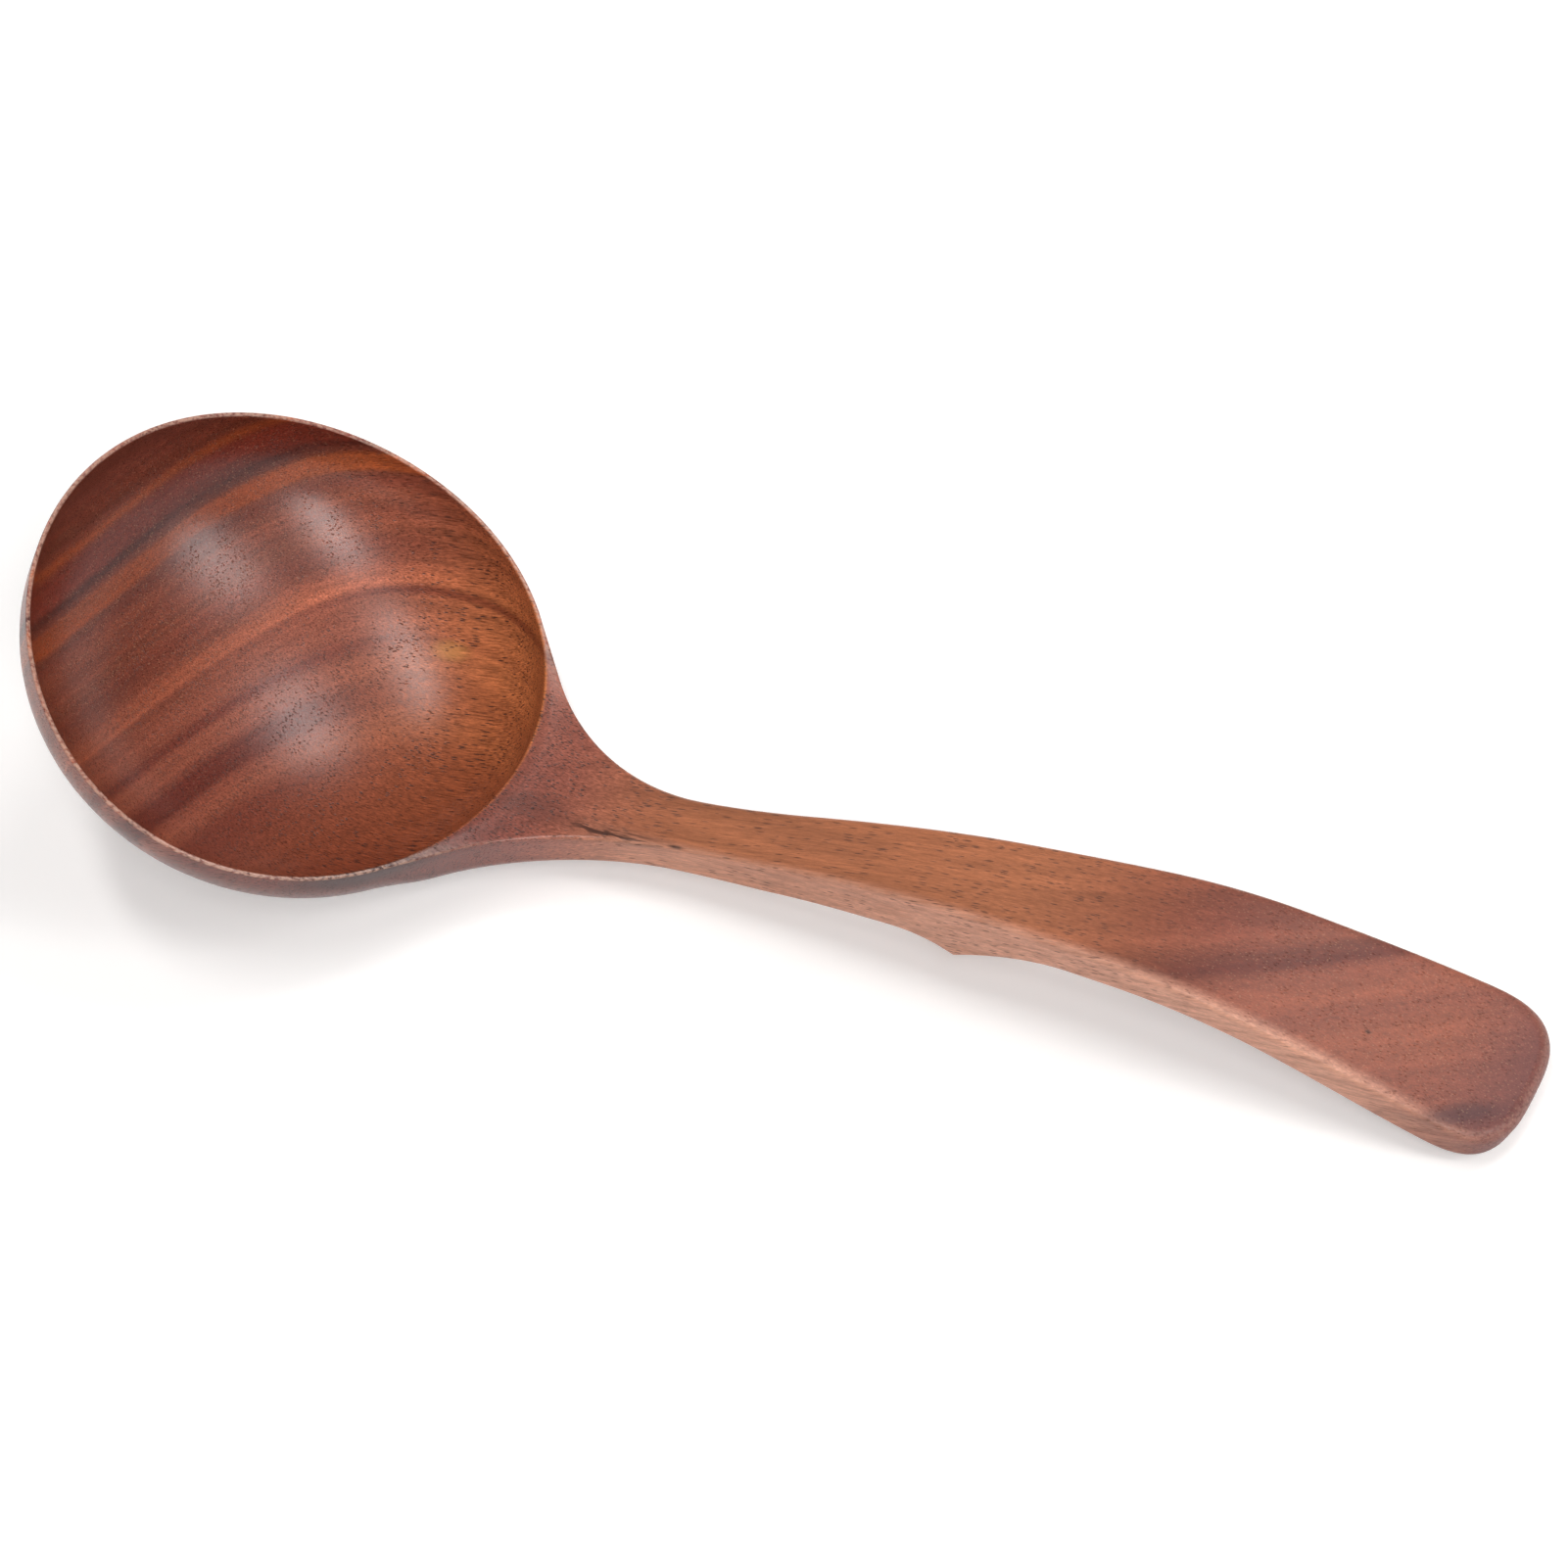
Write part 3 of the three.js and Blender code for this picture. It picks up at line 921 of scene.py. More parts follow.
class FibreGroup:
    """Two groups for what runs along the fibres: streaks and vessels."""

    vessel_crispness = 2.2

    def __init__(self, timber: Timber) -> None:
        """Makes both groups.

        Args:
            timber: how the wood lies.
        """
        self.timber = timber
        self.streaks = self.make_streaks()
        self.vessels = self.make_vessels()

    def stretched(self, nodes: Nodes, inputs: Node) -> Socket:
        """Squeezes the place along the fibres by Length and across them by Width.

        Args:
            nodes: the group's node maker.
            inputs: the group's input node.

        Returns:
            The squeezed place.
        """
        place, length, width = (inputs.outputs[name] for name in ("Place", "Length", "Width"))
        parts = {}
        for letter, axis, size in zip("XYZ", self.timber.axes(), (length, width, width)):
            parts[letter] = nodes.math("DIVIDE", nodes.dot(place, axis), size)
        return nodes.add("ShaderNodeCombineXYZ", parts).outputs[0]

    def make_streaks(self) -> Tree:
        """Makes a group that gives noise drawn out along the fibres, from 0 to 1.

        Returns:
            The group.
        """
        sizes = (("Length", FLOAT, 40.0), ("Width", FLOAT, 2.0), ("Detail", FLOAT, 2.0))
        nodes, inputs, outputs = new_group("fibre_streaks", (("Place", VECTOR, None), *sizes), ("Streak",))
        noise = nodes.add(
            "ShaderNodeTexNoise",
            {"Vector": self.stretched(nodes, inputs), "Scale": 1.0, "Detail": inputs.outputs["Detail"]},
        )
        nodes.tree.links.new(noise.outputs["Fac"], outputs.inputs["Streak"])
        return nodes.tree

    def make_vessels(self) -> Tree:
        """Makes a group that marks the open vessels: short dashes along the fibres, dots across them.

        Returns:
            The group.
        """
        sockets = (
            ("Place", VECTOR, None),
            ("Length", FLOAT, 3.0),
            ("Width", FLOAT, 0.6),
            ("Bore", FLOAT, 0.3),
            ("Share", FLOAT, 0.4),
        )
        nodes, inputs, outputs = new_group("vessels", sockets, ("Vessel",))
        cells = nodes.add("ShaderNodeTexVoronoi", {"Vector": self.stretched(nodes, inputs), "Scale": 1.0})
        away = nodes.math("DIVIDE", cells.outputs["Distance"], inputs.outputs["Bore"])
        inside = nodes.math("SUBTRACT", 1.0, away, clamp=True)
        pick = nodes.add("ShaderNodeSeparateColor", {0: cells.outputs["Color"]}).outputs[0]
        kept = nodes.math("LESS_THAN", pick, inputs.outputs["Share"])
        crisp = nodes.math("MULTIPLY", inside, self.vessel_crispness, clamp=True)
        nodes.tree.links.new(nodes.times(crisp, kept), outputs.inputs["Vessel"])
        return nodes.tree


class MarkGroup:
    """A group that masks one long soft mark in the wood."""

    solid_core = 0.2

    def __init__(self) -> None:
        """Makes the group."""
        sockets = (
            ("Place", VECTOR, None),
            ("Centre", VECTOR, (0.0, 0.0, 0.0)),
            ("Along", VECTOR, (1.0, 0.0, 0.0)),
            ("Half Length", FLOAT, 10.0),
            ("Half Width", FLOAT, 2.0),
        )
        nodes, inputs, outputs = new_group("wood_mark", sockets, ("Mask",))
        from_centre = {0: inputs.outputs["Place"], 1: inputs.outputs["Centre"]}
        away = nodes.add("ShaderNodeVectorMath", from_centre, operation="SUBTRACT").outputs[0]
        run = nodes.dot(away, inputs.outputs["Along"])
        aside = nodes.math("SUBTRACT", nodes.dot(away, away), nodes.times(run, run))
        width = inputs.outputs["Half Width"]
        run = nodes.math("DIVIDE", run, inputs.outputs["Half Length"])
        aside = nodes.math("DIVIDE", aside, nodes.times(width, width))
        far = nodes.math("SQRT", nodes.line(run, run, nodes.math("MAXIMUM", aside, 0.0)))
        mask = nodes.rest(nodes.ease(far, self.solid_core, 1.0))
        nodes.tree.links.new(mask, outputs.inputs["Mask"])
        self.tree = nodes.tree


class LayerGroup:
    """A group that says how deep in the growth layers a point lies, and how the fine rings vary there."""

    waver_scale = 0.04
    waver_detail = 2.0
    ring_length = 50.0
    ring_breadth = 24.0
    ring_detail = 4.0
    ring_roughness = 0.6

    def __init__(self, timber: Timber) -> None:
        """Makes the group.

        Args:
            timber: how the wood lies.
        """
        sockets = (
            ("Place", VECTOR, None),
            ("Facing", VECTOR, (0.0, 0.0, 1.0)),
            ("Bow Axis", VECTOR, (1.0, 0.0, 0.0)),
            ("Bow", FLOAT, 0.0),
            ("Waver", FLOAT, 0.8),
            ("Ring", FLOAT, 1.2),
        )
        nodes, inputs, outputs = new_group("growth_layers", sockets, ("Depth", "Rings"))
        place = inputs.outputs["Place"]
        flat = nodes.dot(place, inputs.outputs["Facing"])
        side = nodes.dot(place, inputs.outputs["Bow Axis"])
        bowed = nodes.times(nodes.times(side, side), inputs.outputs["Bow"])
        waver_noise = {"Vector": place, "Scale": self.waver_scale, "Detail": self.waver_detail}
        noise = nodes.add("ShaderNodeTexNoise", waver_noise)
        swing = nodes.math("SUBTRACT", noise.outputs["Fac"], MIDDLE)
        waver = nodes.times(swing, inputs.outputs["Waver"])
        depth = nodes.math("ADD", nodes.math("ADD", flat, bowed), waver)
        sheet = {
            "X": nodes.math("DIVIDE", depth, inputs.outputs["Ring"]),
            "Y": nodes.times(nodes.dot(place, timber.fibre.normalized()), 1 / self.ring_length),
            "Z": nodes.times(side, 1 / self.ring_breadth),
        }
        spread = nodes.add("ShaderNodeCombineXYZ", sheet).outputs[0]
        looks = {"Scale": 1.0, "Detail": self.ring_detail, "Roughness": self.ring_roughness}
        rings = nodes.add("ShaderNodeTexNoise", {"Vector": spread, **looks})
        nodes.tree.links.new(depth, outputs.inputs["Depth"])
        nodes.tree.links.new(rings.outputs["Fac"], outputs.inputs["Rings"])
        self.tree = nodes.tree


@dataclass(frozen=True)
class Layers:
    """A run of growth layers: how they face, how they bow, and the tone at each depth in millimetres."""

    facing: Triple
    bow_axis: Triple
    bow: float
    waver: float
    ring: float
    tones: tuple[tuple[float, Tone], ...]


BOWL_LAYERS = Layers(
    facing=(-0.699, 0.476, 0.534),
    bow_axis=(0.711, 0.386, 0.587),
    bow=0.0104,
    waver=1.6,
    ring=1.5,
    tones=(
        (-40.0, Tone.SHADOW),
        (-33.0, Tone.UMBER),
        (-23.4, Tone.BARK),
        (-19.6, Tone.RUSSET),
        (-17.8, Tone.HEART),
        (-16.0, Tone.SHADOW),
        (-13.4, Tone.SHADOW),
        (-12.0, Tone.UMBER),
        (-10.6, Tone.RUSSET),
        (-8.6, Tone.RUSSET),
        (-6.8, Tone.BARK),
        (-4.2, Tone.RUSSET),
        (1.0, Tone.RUSSET),
        (1.6, Tone.BUFF),
        (3.0, Tone.BUFF),
        (5.6, Tone.RUSSET),
        (8.6, Tone.HEART),
        (11.6, Tone.HONEY),
        (15.0, Tone.RUSSET),
        (17.4, Tone.HONEY),
        (20.0, Tone.HEART),
        (21.2, Tone.RUSSET),
        (22.2, Tone.AMBER),
        (24.6, Tone.AMBER),
        (25.8, Tone.UMBER),
        (27.0, Tone.SHADOW),
        (28.4, Tone.MAROON),
        (31.8, Tone.MAROON),
        (33.2, Tone.AMBER),
        (34.4, Tone.HEART),
        (40.0, Tone.ROSE),
    ),
)

HANDLE_LAYERS = Layers(
    facing=(-0.52, 0.43, 0.74),
    bow_axis=(0.0, 1.0, 0.0),
    bow=0.0,
    waver=1.0,
    ring=1.6,
    tones=(
        (-54.0, Tone.HEART),
        (-48.6, Tone.RUSSET),
        (-47.0, Tone.SHADOW),
        (-45.4, Tone.RUSSET),
        (-42.0, Tone.RUSSET),
        (-39.0, Tone.HONEY),
        (-37.0, Tone.HONEY),
        (-35.0, Tone.RUSSET),
        (-33.0, Tone.HONEY),
        (-30.6, Tone.RUSSET),
        (-29.3, Tone.BARK),
        (-28.2, Tone.UMBER),
        (-27.0, Tone.RUSSET),
        (-25.0, Tone.HEART),
        (-18.0, Tone.RUSSET),
    ),
)


@dataclass(frozen=True)
class Mark:
    """A mark on the wood's colour: where it lies, the way it runs, its half-sizes, its strength and its
    colour.
    """

    centre: Triple
    along: Triple
    half_length: float
    half_width: float
    strength: float
    colour: str = "3a201a"
    lined: bool = False


MARKS = (
    # The shade on the flare, beside the neck.
    Mark((48.0, -5.2, 6.4), (0.92, 0.15, 0.36), 10.0, 4.0, 0.55, "5a332c"),
    # The dark streak that runs out at the neck's near edge, and the slit at its end.
    Mark((61.5, -5.3, 12.2), (0.88, 0.05, 0.47), 14.0, 1.9, 0.90, lined=True),
    Mark((71.4, -4.9, 18.2), (0.86, 0.03, 0.51), 2.4, 0.45, 0.95),
    # The soft red patch on the far side of the handle, where the layers return.
    Mark((154.0, 8.4, 70.6), (0.94, 0.10, 0.32), 15.0, 3.6, 0.30, "6e3828"),
    # The dark stripe along the outside of the bowl.
    Mark((31.0, -30.5, 1.6), (0.66, 0.74, 0.14), 20.0, 5.4, 0.95, "3a1c1a"),
    # The dark patch on the hollow's far wall, painted shade that dims the gap between two highlights, and
    # the golden spot on the same wall.
    Mark((-9.0, 25.0, -17.0), (0.80, 0.04, 0.60), 12.0, 6.5, 0.40, "4a1e14"),
    Mark((21.6, 24.5, -14.0), (0.80, 0.04, 0.60), 5.0, 2.6, 0.35, "d59a52"),
    # The speck and the short stripe on the broad end.
    Mark((176.2, -4.0, 76.3), (0.97, 0.00, 0.22), 0.8, 0.5, 0.80),
    Mark((194.0, -9.9, 79.7), (0.76, 0.63, 0.14), 9.0, 2.4, 0.65, "4a2a2c"),
)


class Stretch(Enum):
    """Where along the ladle one look gives way to the next, in millimetres from the bowl's centre."""

    # Where the painted shade over the bowl's left lifts.
    DUSK_LIFTS = (-26.0, 2.0)
    GRAIN_OPENS = (-20.0, 30.0)
    LINE_SETS_IN = (-12.0, 14.0)
    LAYERS_CALM = (-4.0, 24.0)
    WOOD_WARMS = (2.0, 40.0)
    BOWL_TO_HANDLE = (38.0, 60.0)
    ROSE_TO_FAWN = (42.0, 76.0)
    GRAIN_EVENS = (46.0, 74.0)
    SHEEN_DULLS = (50.0, 80.0)
    SAPWOOD_SETS_IN = (52.0, 80.0)
    LAYERS_RETURN = (118.0, 152.0)
    GRAIN_CLOSES = (125.0, 160.0)
    SAPWOOD_FADES = (172.0, 198.0)
    END_DARKENS = (184.0, 204.0)


@dataclass(frozen=True)
class Streaks:
    """Noise drawn out along the fibres: its size in millimetres, and the shares of light it gives."""

    length: float
    width: float
    dark: float = 1.0
    light: float = 1.0
    detail: float = 3.0


@dataclass(frozen=True)
class Vessels:
    """Vessels: their spacing along and across the fibres in millimetres, and their bore as a share."""

    length: float
    width: float
    bore: float


class Billet:
    """The wood in one node tree: where a point lies in the billet, and what the wood is like there."""

    hollow_edge = (1.005, 1.03)

    def __init__(self, nodes: Nodes, ladle: Ladle) -> None:
        """Lays the billet's millimetres over the ladle.

        Args:
            nodes: the material's node maker.
            ladle: the ladle, for the way it lies.
        """
        timber = Timber()
        self.nodes = nodes
        self.fibres, self.layers, self.marks = FibreGroup(timber), LayerGroup(timber), MarkGroup()
        mapping = {
            "Vector": nodes.add("ShaderNodeTexCoord").outputs["Object"],
            "Location": ladle.place.to_translation(),
            "Rotation": (0.0, ladle.tilt, 0.0),
            "Scale": (MM, MM, MM),
        }
        self.place = nodes.add("ShaderNodeMapping", mapping, vector_type="TEXTURE").outputs["Vector"]
        self.x, self.y, self.z = nodes.add("ShaderNodeSeparateXYZ", {0: self.place}).outputs

    def over(self, stretch: Stretch) -> Socket:
        """Returns a smooth step from 0 to 1 over one stretch of the ladle."""
        return self.nodes.ease(self.x, *stretch.value)

    def streaks(self, streaks: Streaks) -> Socket:
        """Returns one noise drawn out along the fibres."""
        sizes = {"Length": streaks.length, "Width": streaks.width, "Detail": streaks.detail}
        return self.nodes.group(self.fibres.streaks, {"Place": self.place, **sizes}).outputs[0]

    def vessels(self, vessels: Vessels, share: Any) -> Socket:
        """Returns the marks of the vessels, of which only a share is kept."""
        values = {"Length": vessels.length, "Width": vessels.width, "Bore": vessels.bore, "Share": share}
        return self.nodes.group(self.fibres.vessels, {"Place": self.place, **values}).outputs[0]

    def mark(self, mark: Mark) -> Socket:
        """Gives the mask of one mark.

        Args:
            mark: the mark.

        Returns:
            The mask's socket, from 0 to the mark's strength.
        """
        values = {
            "Place": self.place,
            "Centre": mark.centre,
            "Along": Vector(mark.along).normalized(),
            "Half Length": mark.half_length,
            "Half Width": mark.half_width,
        }
        return self.nodes.times(self.nodes.group(self.marks.tree, values).outputs[0], mark.strength)

    def layer_colour(self, layers: Layers) -> tuple[Socket, Socket, Socket]:
        """Gives the colour of one run of growth layers.

        Args:
            layers: the run of layers.

        Returns:
            The sockets of the colour, of the depth in the layers and of the fine rings' variation.
        """
        values = {
            "Place": self.place,
            "Facing": layers.facing,
            "Bow Axis": layers.bow_axis,
            "Bow": layers.bow,
            "Waver": layers.waver,
            "Ring": layers.ring,
        }
        depth, rings = self.nodes.group(self.layers.tree, values).outputs
        low, high = layers.tones[0][0], layers.tones[-1][0]
        span = {"Value": depth, "From Min": low, "From Max": high}
        share = self.nodes.add("ShaderNodeMapRange", span).outputs["Result"]
        ramp = self.nodes.add("ShaderNodeValToRGB", {"Fac": share})
        stops = ramp.color_ramp.elements
        stops.remove(stops[-1])
        for at, tone in layers.tones[1:]:
            stops.new((at - low) / (high - low)).color = tone.light
        stops[0].color = layers.tones[0][1].light
        ramp.color_ramp.interpolation = "EASE"
        return ramp.outputs["Color"], depth, rings

    def outside(self, bowl: Bowl) -> Socket:
        """Marks what lies outside the hollow: 0 on its wall, 1 from the rim outwards.

        Args:
            bowl: the bowl's sizes.

        Returns:
            The mask's socket.
        """
        nodes = self.nodes
        below = nodes.math("MINIMUM", self.z, 0.0)
        squares = [nodes.times(part, part) for part in (self.x, self.y, below)]
        level = nodes.math("DIVIDE", nodes.math("ADD", squares[0], squares[1]), bowl.inner_radius**2)
        ratio = nodes.math("ADD", level, nodes.math("DIVIDE", squares[2], bowl.inner_depth**2))
        return nodes.ease(ratio, *self.hollow_edge)


@dataclass(frozen=True)
class OiledWood:
    """The ladle's finish: solid hardwood, sanded and oiled to a satin sheen.

    Depths are in the growth layers, in millimetres. A pair is where a smooth step starts and ends, or a
    share of light at its lowest and highest. A dulling is added to the roughness.
    """

    roughness: float = 0.29
    handle_dulling: float = 0.16
    fibre_dulling: float = 0.12
    vessel_dulling: float = 0.2
    ior: float = 1.5
    relief: float = 0.00006
    relief_strength: float = 0.6
    fibre_relief: float = 0.35
    calm_depths: Pair = (-38.0, -2.0)
    calm_share: float = 0.75
    line_depth: float = 1.0
    line_reach: Pair = (0.2, 1.3)
    line_strength: float = 0.7
    # The tint of painted shade over the left of the bowl.
    painted_shade_left: Colour = (0.51, 0.41, 0.37, 1.0)
    warmth: Colour = (1.78, 1.98, 1.24, 1.0)
    weathered: Colour = (0.95, 0.92, 0.98, 1.0)
    bowl_ring_depths: Pair = (-20.0, 8.0)
    bowl_ring_least: float = 0.45
    bowl_ring_gain: float = 0.7
    bowl_rings: Pair = (0.78, 1.22)
    handle_rings: Pair = (0.82, 1.18)
    end_share: float = 0.85
    # The handle's pale near side: partly paler wood, partly painted light on the lit side.
    pale_and_lit_facing: Triple = (-0.064, -1.0, 0.0)
    pale_and_lit_edge: Pair = (-1.4, 1.8)
    pale_and_lit_fade: float = 0.7
    pale_and_lit_streaks: Pair = (0.34, 0.58)
    pale_and_lit_least: float = 0.74
    pale_and_lit_gain: float = 0.26
    fine: Streaks = Streaks(3.4, 0.22, 0.56, 1.44)
    strands: Streaks = Streaks(16.0, 0.7, 0.89, 1.11)
    pores: Streaks = Streaks(0.7, 0.22, 0.80, 1.20)
    handle_evenness: float = 0.55
    mark_lines: Pair = (0.42, 0.58)
    # Pale specks: partly filled pores, partly painted glints.
    flecks_and_glints: Vessels = Vessels(0.7, 0.36, 0.32)
    fleck_and_glint_share: float = 0.45
    fleck_and_glint_strength: float = 0.30
    fleck_and_glint_colour: str = "c08f70"
    vessels: Vessels = Vessels(3.2, 0.38, 0.35)
    vessel_patch_scale: float = 0.07
    vessel_patch_detail: float = 2.0
    vessel_patches: Pair = (0.25, 0.70)
    vessel_share: float = 0.85
    vessel_least: float = 0.45
    vessel_gain: float = 0.50
    vessel_colour: str = "301813"
    # The pale edges: partly from use, partly painted highlight.
    wear_and_shine: Streaks = Streaks(1.6, 0.5)
    wear_and_shine_edge: Pair = (0.30, 0.62)
    wear_and_shine_strength: float = 0.62
    worn_and_lit_colour: str = "c9a08c"

    def bowl_colour(self, billet: Billet, bowl: Bowl) -> Socket:
        """Colours the bowl: its layers, calmer to the right, a dark line and the tints across it, the
        darkening over its left being painted shade.

        Args:
            billet: the wood's node tree.
            bowl: the bowl's sizes.

        Returns:
            The colour's socket.
        """
        nodes = billet.nodes
        colour, depth, rings = billet.layer_colour(BOWL_LAYERS)
        calm = nodes.mix(nodes.ease(depth, *self.calm_depths), Tone.SHADOW.light, Tone.HONEY.light)
        colour = nodes.mix(nodes.times(billet.over(Stretch.LAYERS_CALM), self.calm_share), colour, calm)
        away = nodes.math("ABSOLUTE", nodes.math("SUBTRACT", depth, self.line_depth))
        line = nodes.rest(nodes.ease(away, *self.line_reach))
        line = nodes.times(nodes.times(line, billet.over(Stretch.LINE_SETS_IN)), self.line_strength)
        colour = nodes.mix(line, colour, Tone.SHADOW.light)
        # The left of the bowl is darkened: painted shade where less light falls.
        tint = nodes.mix(billet.over(Stretch.DUSK_LIFTS), self.painted_shade_left, WHITE)
        tint = nodes.mix(billet.over(Stretch.WOOD_WARMS), tint, self.warmth)
        tint = nodes.mix(billet.outside(bowl), tint, self.weathered)
        colour = nodes.mix(1.0, colour, tint, "MULTIPLY")
        swing = nodes.ease(depth, *self.bowl_ring_depths)
        swing = nodes.line(swing, self.bowl_ring_gain, self.bowl_ring_least)
        return nodes.shaded(colour, nodes.swung(rings, swing), *self.bowl_rings)

    def handle_colour(self, billet: Billet, strands: Socket) -> Socket:
        """Colours the handle: plain past the neck, layered again at the end, and pale on the near side,
        partly paler wood and partly painted light on the lit side.

        Args:
            billet: the wood's node tree.
            strands: the noise of the long strands.

        Returns:
            The colour's socket.
        """
        nodes = billet.nodes
        layered, _, rings = billet.layer_colour(HANDLE_LAYERS)
        plain = nodes.mix(billet.over(Stretch.ROSE_TO_FAWN), Tone.ROSE.light, Tone.FAWN.light)
        colour = nodes.mix(billet.over(Stretch.LAYERS_RETURN), plain, layered)
        colour = nodes.shaded(colour, rings, *self.handle_rings)
        end = nodes.times(billet.over(Stretch.END_DARKENS), self.end_share)
        colour = nodes.mix(end, colour, Tone.MAUVE.light)
        # The near side is paled: partly paler wood, partly painted light on the lit side.
        near = nodes.ease(nodes.dot(billet.place, self.pale_and_lit_facing), *self.pale_and_lit_edge)
        pale_and_lit_side = nodes.times(near, billet.over(Stretch.SAPWOOD_SETS_IN))
        kept = nodes.line(billet.over(Stretch.SAPWOOD_FADES), -self.pale_and_lit_fade, 1.0)
        streaked = nodes.ease(strands, *self.pale_and_lit_streaks)
        streaked = nodes.line(streaked, self.pale_and_lit_gain, self.pale_and_lit_least)
        return nodes.mix(nodes.times(nodes.times(pale_and_lit_side, kept), streaked), colour, Tone.SAPWOOD.light)

    def grained(self, billet: Billet, colour: Any, fine: Any, strands: Any, even: Any) -> Socket:
        """Shades a colour by the fibres and lays the single marks over it.

        Args:
            billet: the wood's node tree.
            colour: the colour.
            fine: the noise of the fine fibres.
            strands: the noise of the long strands.
            even: how much of the fine grain shows, less on the handle.

        Returns:
            The colour's socket.
        """
        nodes = billet.nodes
        colour = nodes.shaded(colour, nodes.swung(fine, even), self.fine.dark, self.fine.light)
        colour = nodes.shaded(colour, strands, self.strands.dark, self.strands.light)
        pores = nodes.swung(billet.streaks(self.pores), even)
        colour = nodes.shaded(colour, pores, self.pores.dark, self.pores.light)
        for mark in MARKS:
            mask = billet.mark(mark)
            if mark.lined:
                mask = nodes.times(mask, nodes.ease(strands, *self.mark_lines))
            colour = nodes.mix(mask, colour, srgb(mark.colour))
        return colour

    def pored(self, billet: Billet, colour: Any, even: Any) -> tuple[Socket, Socket]:
        """Lays pale specks, partly filled pores and partly painted glints, where the grain is closed, and
        dark vessels where it is open.

        Args:
            billet: the wood's node tree.
            colour: the colour.
            even: how much of the fine grain shows, less on the handle.

        Returns:
            The sockets of the colour and of the vessels.
        """
        nodes = billet.nodes
        opened, closed = billet.over(Stretch.GRAIN_OPENS), billet.over(Stretch.GRAIN_CLOSES)
        open_grain = nodes.math("SUBTRACT", opened, closed)
        # Pale specks: partly filled pores, partly painted glints.
        flecks_and_glints = billet.vessels(self.flecks_and_glints, self.fleck_and_glint_share)
        paleness = nodes.times(nodes.rest(open_grain), self.fleck_and_glint_strength)
        colour = nodes.mix(nodes.times(flecks_and_glints, paleness), colour, srgb(self.fleck_and_glint_colour))
        noise = {"Scale": self.vessel_patch_scale, "Detail": self.vessel_patch_detail}
        patches = nodes.add("ShaderNodeTexNoise", {"Vector": billet.place, **noise}).outputs["Fac"]
        share = nodes.times(nodes.ease(patches, *self.vessel_patches), self.vessel_share)
        vessels = billet.vessels(self.vessels, share)
        darkness = nodes.line(open_grain, self.vessel_gain, self.vessel_least)
        darkness = nodes.times(darkness, nodes.math("SQRT", even))
        colour = nodes.mix(nodes.times(vessels, darkness), colour, srgb(self.vessel_colour))
        return colour, vessels

    def worn_and_lit(self, billet: Billet, colour: Any) -> Socket:
        """Makes the edges pale where the mesh marks them: partly from use, partly a painted highlight on
        the rim and the arrises.

        Args:
            billet: the wood's node tree.
            colour: the colour.

        Returns:
            The colour's socket.
        """
        nodes = billet.nodes
        worn_and_lit_mask = nodes.add("ShaderNodeAttribute", None, attribute_name=WEAR_AND_HIGHLIGHT).outputs["Fac"]
        wear_and_shine = nodes.ease(billet.streaks(self.wear_and_shine), *self.wear_and_shine_edge)
        share = nodes.times(nodes.times(worn_and_lit_mask, wear_and_shine), self.wear_and_shine_strength)
        return nodes.mix(share, colour, srgb(self.worn_and_lit_colour))

    def make(self, ladle: Ladle) -> bpy.types.Material:
        """Makes the material, with its grain laid through the billet.

        Args:
            ladle: the ladle, for the way it lies.

        Returns:
            The material.
        """
        material, nodes = empty_material(SLOT)
        billet = Billet(nodes, ladle)
        fine, strands = billet.streaks(self.fine), billet.streaks(self.strands)
        even = nodes.line(billet.over(Stretch.GRAIN_EVENS), -self.handle_evenness, 1.0)
        bowl, handle = self.bowl_colour(billet, ladle.bowl), self.handle_colour(billet, strands)
        colour = nodes.mix(billet.over(Stretch.BOWL_TO_HANDLE), bowl, handle)
        colour = self.grained(billet, colour, fine, strands, even)
        colour, vessels = self.pored(billet, colour, even)
        colour = self.worn_and_lit(billet, colour)
        rough = nodes.line(billet.over(Stretch.SHEEN_DULLS), self.handle_dulling, self.roughness)
        rough = nodes.line(nodes.math("SUBTRACT", fine, MIDDLE), self.fibre_dulling, rough)
        rough = nodes.line(vessels, self.vessel_dulling, rough)
        height = nodes.math("SUBTRACT", nodes.times(fine, self.fibre_relief), vessels)
        relief = {"Height": height, "Strength": self.relief_strength, "Distance": self.relief}
        bump = nodes.add("ShaderNodeBump", relief)
        shader = nodes.add(
            "ShaderNodeBsdfPrincipled",
            {"Base Color": colour, "Roughness": rough, "Normal": bump.outputs["Normal"], "IOR": self.ior},
        )
        nodes.add("ShaderNodeOutputMaterial", {"Surface": shader.outputs[0]})
        return material


class Ray(Enum):
    """The rays that show the background as it looks to the eye."""

    CAMERA = "Is Camera Ray"
    GLOSSY = "Is Glossy Ray"
    THROUGH = "Is Transmission Ray"


def seen_ray(nodes: Nodes) -> Socket:
    """Tells the rays that show the background from those that only light the ladle.

    Args:
        nodes: the material's node maker.

    Returns:
        The socket of 1 for a ray that shows the background, and 0 for any other.
    """
    path = nodes.add("ShaderNodeLightPath")
    camera, glossy, through = (path.outputs[ray.value] for ray in Ray)
    return nodes.math("MAXIMUM", nodes.math("MAXIMUM", camera, glossy), through)


@dataclass(frozen=True)
class Softbox:
    """One strip lamp: the way it lies from the bowl, the way its length runs, its length and its power."""

    name: str
    towards: Triple
    along: Triple
    length: float
    power: float


